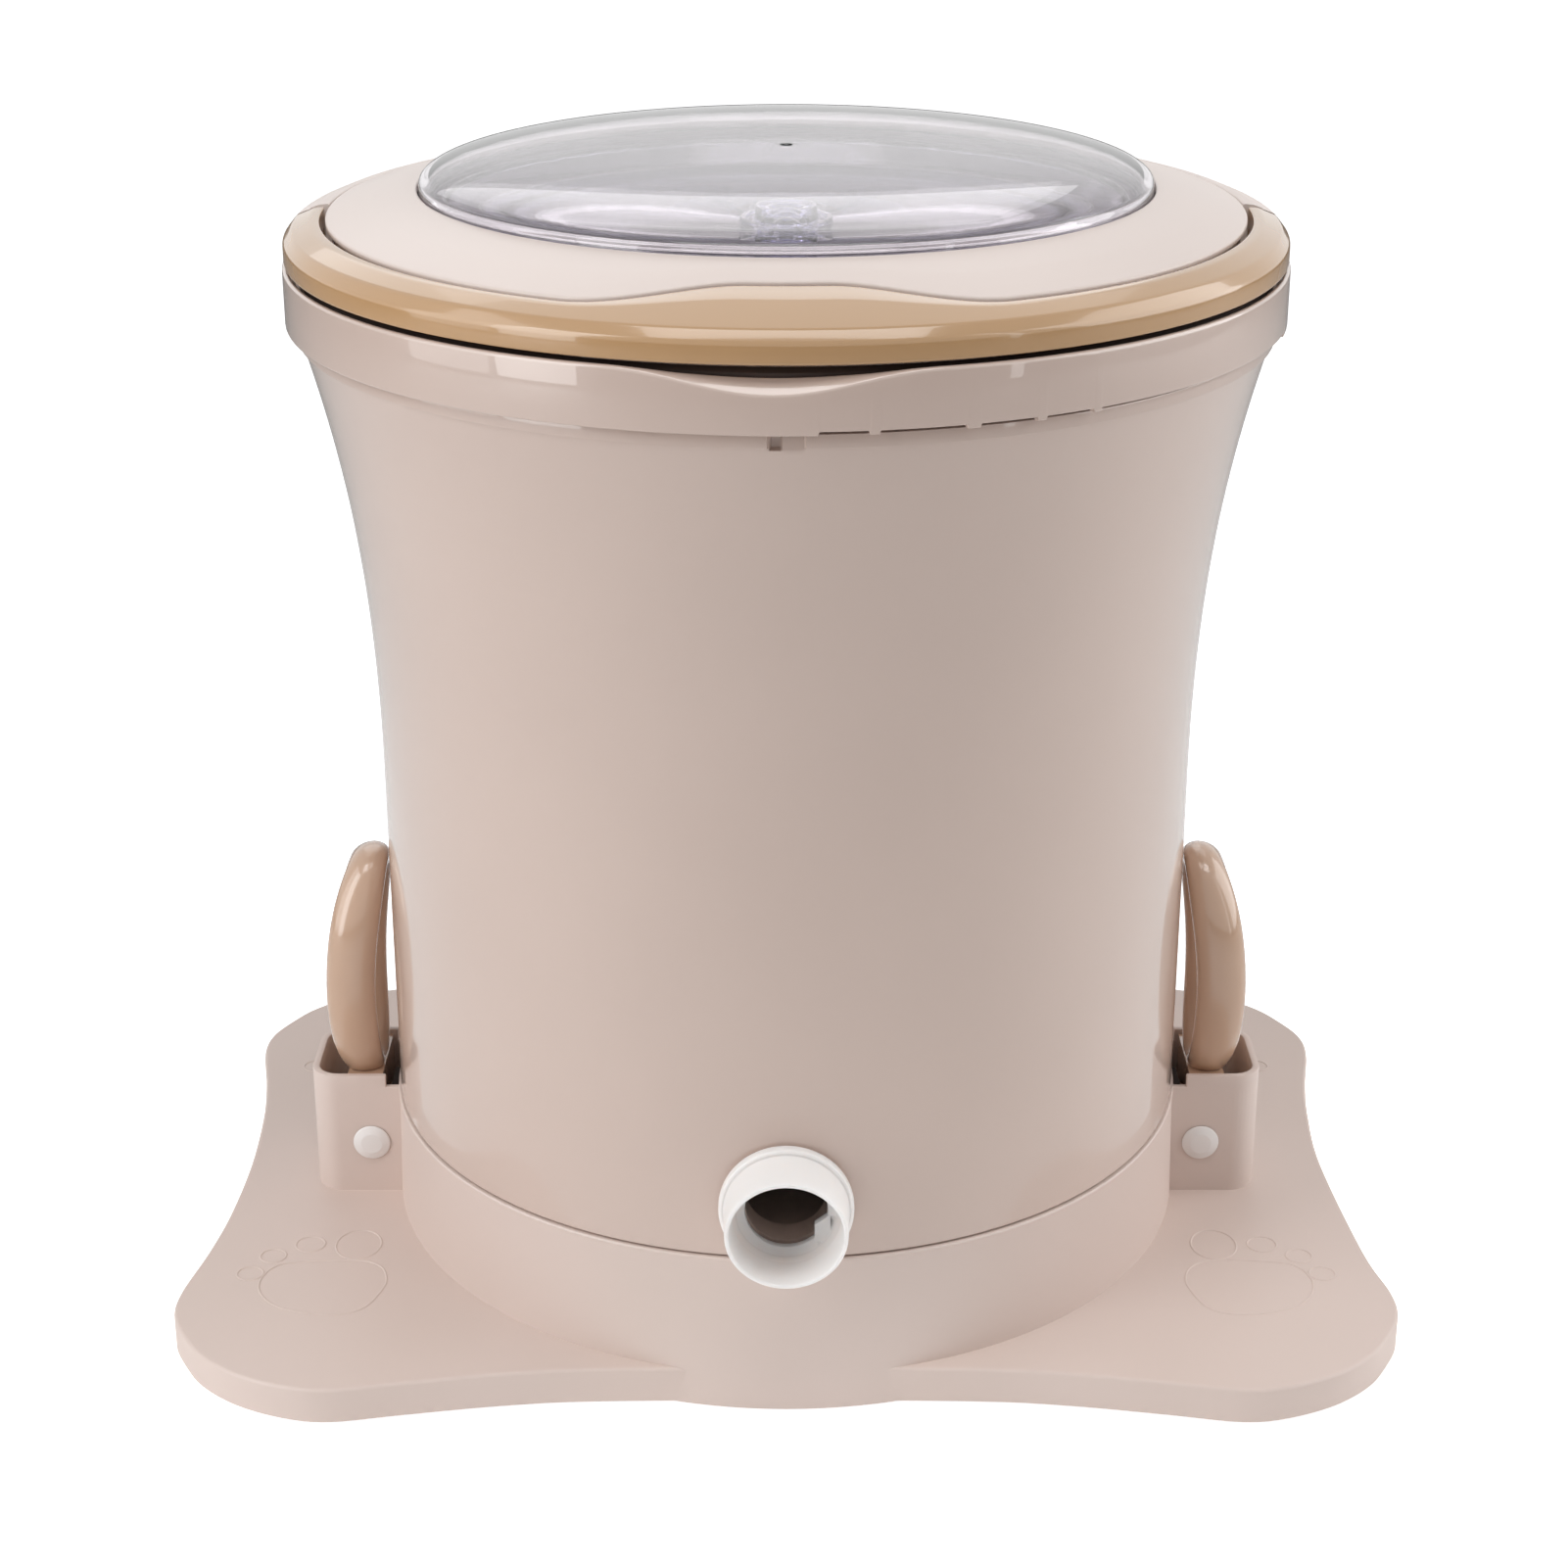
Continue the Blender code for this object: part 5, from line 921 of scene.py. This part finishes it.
def latch_ring(side, name):
    low, high, half_wide, tube, squareness = 50, 135.6, 15.5, 5.5, 0.889
    middle, half_height = (low + high) / 2, (high - low) / 2 - tube

    def route(angle):
        c, s = (math.copysign(abs(part) ** squareness, part) for part in (math.cos(angle), math.sin(angle)))
        return Vector((c * half_wide, middle + s * half_height))

    sections = []
    for i in range(88):
        angle = math.tau * (i + 0.5) / 88
        spot = route(angle)
        along = (route(angle + 0.01) - route(angle - 0.01)).normalized()
        out = Vector((along.y, -along.x))
        reach = abs(spot.y - middle) / half_height
        half_x = 8.3 - 1.7 * reach ** 4
        ring = []
        for j in range(24):
            turn = math.tau * j / 24
            push = out * tube * math.sin(turn)
            z = spot.y + push.y
            bow = 147.6 - (z - 83) ** 2 / 345
            ring.append((side * (bow + half_x * math.cos(turn)), spot.x + push.x, z))
        sections.append(ring)
    ring = skinned(name, sections)
    stem = [(138.5, 56), (138.5, 37.8)] + arc(pin_x, pin_z, 8.2, 145, 361, 15) + [(150.5, 40.3), (150.5, 56)]
    combine(ring, join(pushed([(side * x, z) for x, z in stem], -16.2, 16.2, "Y")),
            cut(drum(3.55, -19, 19, "Y", (side * pin_x, 0, pin_z), 32)))
    return ring


for side, word in ((1, "right"), (-1, "left")):
    ring = latch_ring(side, f"latch_{word}_moulding")
    finish_piece(ring, tan_deep, "latch_" + word, ["latch_ring_" + word])
    head = [(0, -20.9, 0), (3.6, -20.7, 1.5), (6.1, -19.7, 0.8), (6.4, -19.3, 0.2), (3.2, -19.3, 0.1),
            (3.2, 19.3, 0.1), (4.5, 19.3, 0.2), (4.5, 20.9, 0.4), (0, 20.9, 0)]
    pin = placed(lathe("latch_pin_" + word + "_cap", head, 48), "Y", (side * pin_x, 0, pin_z))
    finish_piece(pin, white, "base", ["latch_pin_" + word])

# %% [markdown]
# ## The basket
# The basket's wall is a sheet of small round holes. A Geometry Nodes tree copies one cell with one hole into a
# grid and then wraps the grid round the axis, following the barrel's flare. The number of holes is an input.

# %% One cell and the tree that repeats it
cell = bmesh.new()
hole_share, hole_sides = 0.27, 16
ring = []
for i in range(hole_sides):
    c, s = math.cos(i * math.tau / hole_sides), math.sin(i * math.tau / hole_sides)
    reach = 0.5 / max(abs(c), abs(s))
    ring.append([cell.verts.new((share * c, share * s, 0)) for share in (reach, hole_share)])
for i in range(hole_sides):
    cell.faces.new((ring[i - 1][0], ring[i][0], ring[i][1], ring[i - 1][1]))
basket_wall = object_from(cell, "basket_wall")

sheet, given, outlet = geometry_tree("perforated_drum", {
    "Columns": 60, "Rows": 14, "Low edge": 105 * mm, "Cell height": 13.5 * mm, "Radius": 124 * mm,
    "Flare start": flare_start * mm, "Flare reach": (ledge_low - flare_start) * mm, "Flare gain": flare_gain * mm,
    "Flare power": flare_power})
maths = functools.partial(calculate, sheet)
grid = node(sheet, "GeometryNodeMeshGrid")
copies = node(sheet, "GeometryNodeInstanceOnPoints")
real = node(sheet, "GeometryNodeRealizeInstances")
weld = node(sheet, "GeometryNodeMergeByDistance", Distance=0.0002)
wrap = node(sheet, "GeometryNodeSetPosition")
weld_seam = node(sheet, "GeometryNodeMergeByDistance", Distance=0.00002)
flat = node(sheet, "ShaderNodeSeparateXYZ")
here = node(sheet, "GeometryNodeInputPosition")
for label, axis in (("Columns", "X"), ("Rows", "Y")):
    chain(sheet, (given[label], grid.inputs["Vertices " + axis]),
          (maths("SUBTRACT", given[label], 1), grid.inputs["Size " + axis]))
chain(sheet, (grid.outputs[0], copies.inputs["Points"]), (given["Geometry"], copies.inputs["Instance"]),
      (copies.outputs[0], real.inputs[0]), (real.outputs[0], weld.inputs[0]), (weld.outputs[0], wrap.inputs[0]),
      (here.outputs[0], flat.inputs[0]), (wrap.outputs[0], weld_seam.inputs[0]))
end_tree(sheet, weld_seam.outputs[0], given, outlet)
turn = maths("MULTIPLY", maths("DIVIDE", flat.outputs[0], given["Columns"]), math.tau)
row = maths("ADD", flat.outputs[1], maths("DIVIDE", given["Rows"], 2))
up = maths("ADD", maths("MULTIPLY", row, given["Cell height"]), given["Low edge"])
rise = maths("MAXIMUM", maths("DIVIDE", maths("SUBTRACT", up, given["Flare start"]), given["Flare reach"]), 0.0)
gain = maths("MULTIPLY", given["Flare gain"], maths("POWER", rise, given["Flare power"]))
radius = maths("ADD", given["Radius"], gain)
to = node(sheet, "ShaderNodeCombineXYZ")
chain(sheet, (maths("MULTIPLY", radius, maths("COSINE", turn)), to.inputs[0]),
      (maths("MULTIPLY", radius, maths("SINE", turn)), to.inputs[1]), (up, to.inputs[2]),
      (to.outputs[0], wrap.inputs["Position"]))

# %% Basket wall, floor and lip
apply_tree(basket_wall, sheet, basket_white)
thicken = basket_wall.modifiers.new("wall", "SOLIDIFY")
thicken.thickness, thicken.offset = 2 * mm, -1
bake(basket_wall)
finish_piece(basket_wall, basket_white, "basket", ["basket"], 40)
top_z = 294
lip_r = barrel_outside(top_z) - 9
lip = lathe("basket_lip", [(lip_r + x, z, 0.6) for x, z in (
    (-2.3, top_z - 1.5), (0.3, top_z - 1.5), (3, 300), (3.6, 303), (0, 303), (-1.6, 300))], 120)
finish_piece(lip, basket_white, "basket")
base_ring = lathe("basket_floor_dish", [(37, 99, 0.3), (118.5, 99, 4), (123.9, 105, 0.2), (121.9, 105, 0.2),
                                        (117.8, 102, 2), (37, 102, 0.3)], 120)
finish_piece(base_ring, basket_white, "basket", ["basket_floor"])

# %% [markdown]
# ## The twisted rod
# The rod that spins the basket is a square bar with a steady twist. In Geometry Nodes it is a straight line whose
# tilt grows with its height, swept with a square. The lead, the height of one full turn, is an input.

# %% Twisted rod
twist, given, outlet = geometry_tree("twisted_bar", {"Low end": 136.5 * mm, "High end": 240 * mm,
                                                     "Lead": 60 * mm, "Side": 8 * mm})
line = node(twist, "GeometryNodeCurvePrimitiveLine")
for label, place in (("Low end", "Start"), ("High end", "End")):
    point = node(twist, "ShaderNodeCombineXYZ")
    chain(twist, (given[label], point.inputs["Z"]), (point.outputs[0], line.inputs[place]))
fine = node(twist, "GeometryNodeResampleCurve", Count=160)
tilt = node(twist, "GeometryNodeSetCurveTilt")
square = node(twist, "GeometryNodeCurvePrimitiveQuadrilateral")
sweep = node(twist, "GeometryNodeCurveToMesh")
sweep.inputs["Fill Caps"].default_value = True
height = node(twist, "ShaderNodeSeparateXYZ")
here = node(twist, "GeometryNodeInputPosition")
lead_turn = calculate(twist, "MULTIPLY", calculate(twist, "DIVIDE", height.outputs[2], given["Lead"]), math.tau)
chain(twist, (line.outputs[0], fine.inputs["Curve"]), (fine.outputs[0], tilt.inputs["Curve"]),
      (tilt.outputs[0], sweep.inputs["Curve"]), (here.outputs[0], height.inputs[0]),
      (lead_turn, tilt.inputs["Tilt"]), (given["Side"], square.inputs["Width"]),
      (given["Side"], square.inputs["Height"]),
      (square.outputs[0], sweep.inputs["Profile Curve"]))
end_tree(twist, sweep.outputs[0], given, outlet)
rod = apply_tree(new_object("twisted_rod", bpy.data.meshes.new("twisted_rod")), twist, steel)
foot = lathe("rod_foot", [(0, 2.4, 0), (4.9, 2.4, 0.4), (4.9, 13.5, 0), (12, 13.5, 0.5), (12, 18.5, 0.5),
                          (5.4, 18.5, 0), (5.4, 138, 0.4), (0, 138, 0)], 48)
finish_piece(combine(rod, join(foot)), steel, "base", ["drive_rod"], 40)

# %% [markdown]
# ## The pieces that stay
# Bushes, races, screws, seals and feet already have the right shape in the engineering model, so they only get
# their finishes. The record names a slot for each, and the slot picks the material.

# %% Finishes for the carried pieces
finish_of_slot = {"body_taupe": taupe_gloss, "blush_plastic": blush, "tan_gloss": tan, "white_plastic": white,
                  "clear_plastic": cover_clear, "steel": steel, "rubber": rubber, "nylon": nylon, "brass": brass}
slot_of_node = {entry["node"]: entry["material_slot"] for entry in frame["record"]["subparts"]}
for name, carried in frame["nodes"].items():
    carried.data.materials.clear()
    carried.data.materials.append(finish_of_slot[slot_of_node[name]])
print(len(frame["nodes"]), "carried nodes have their finish")
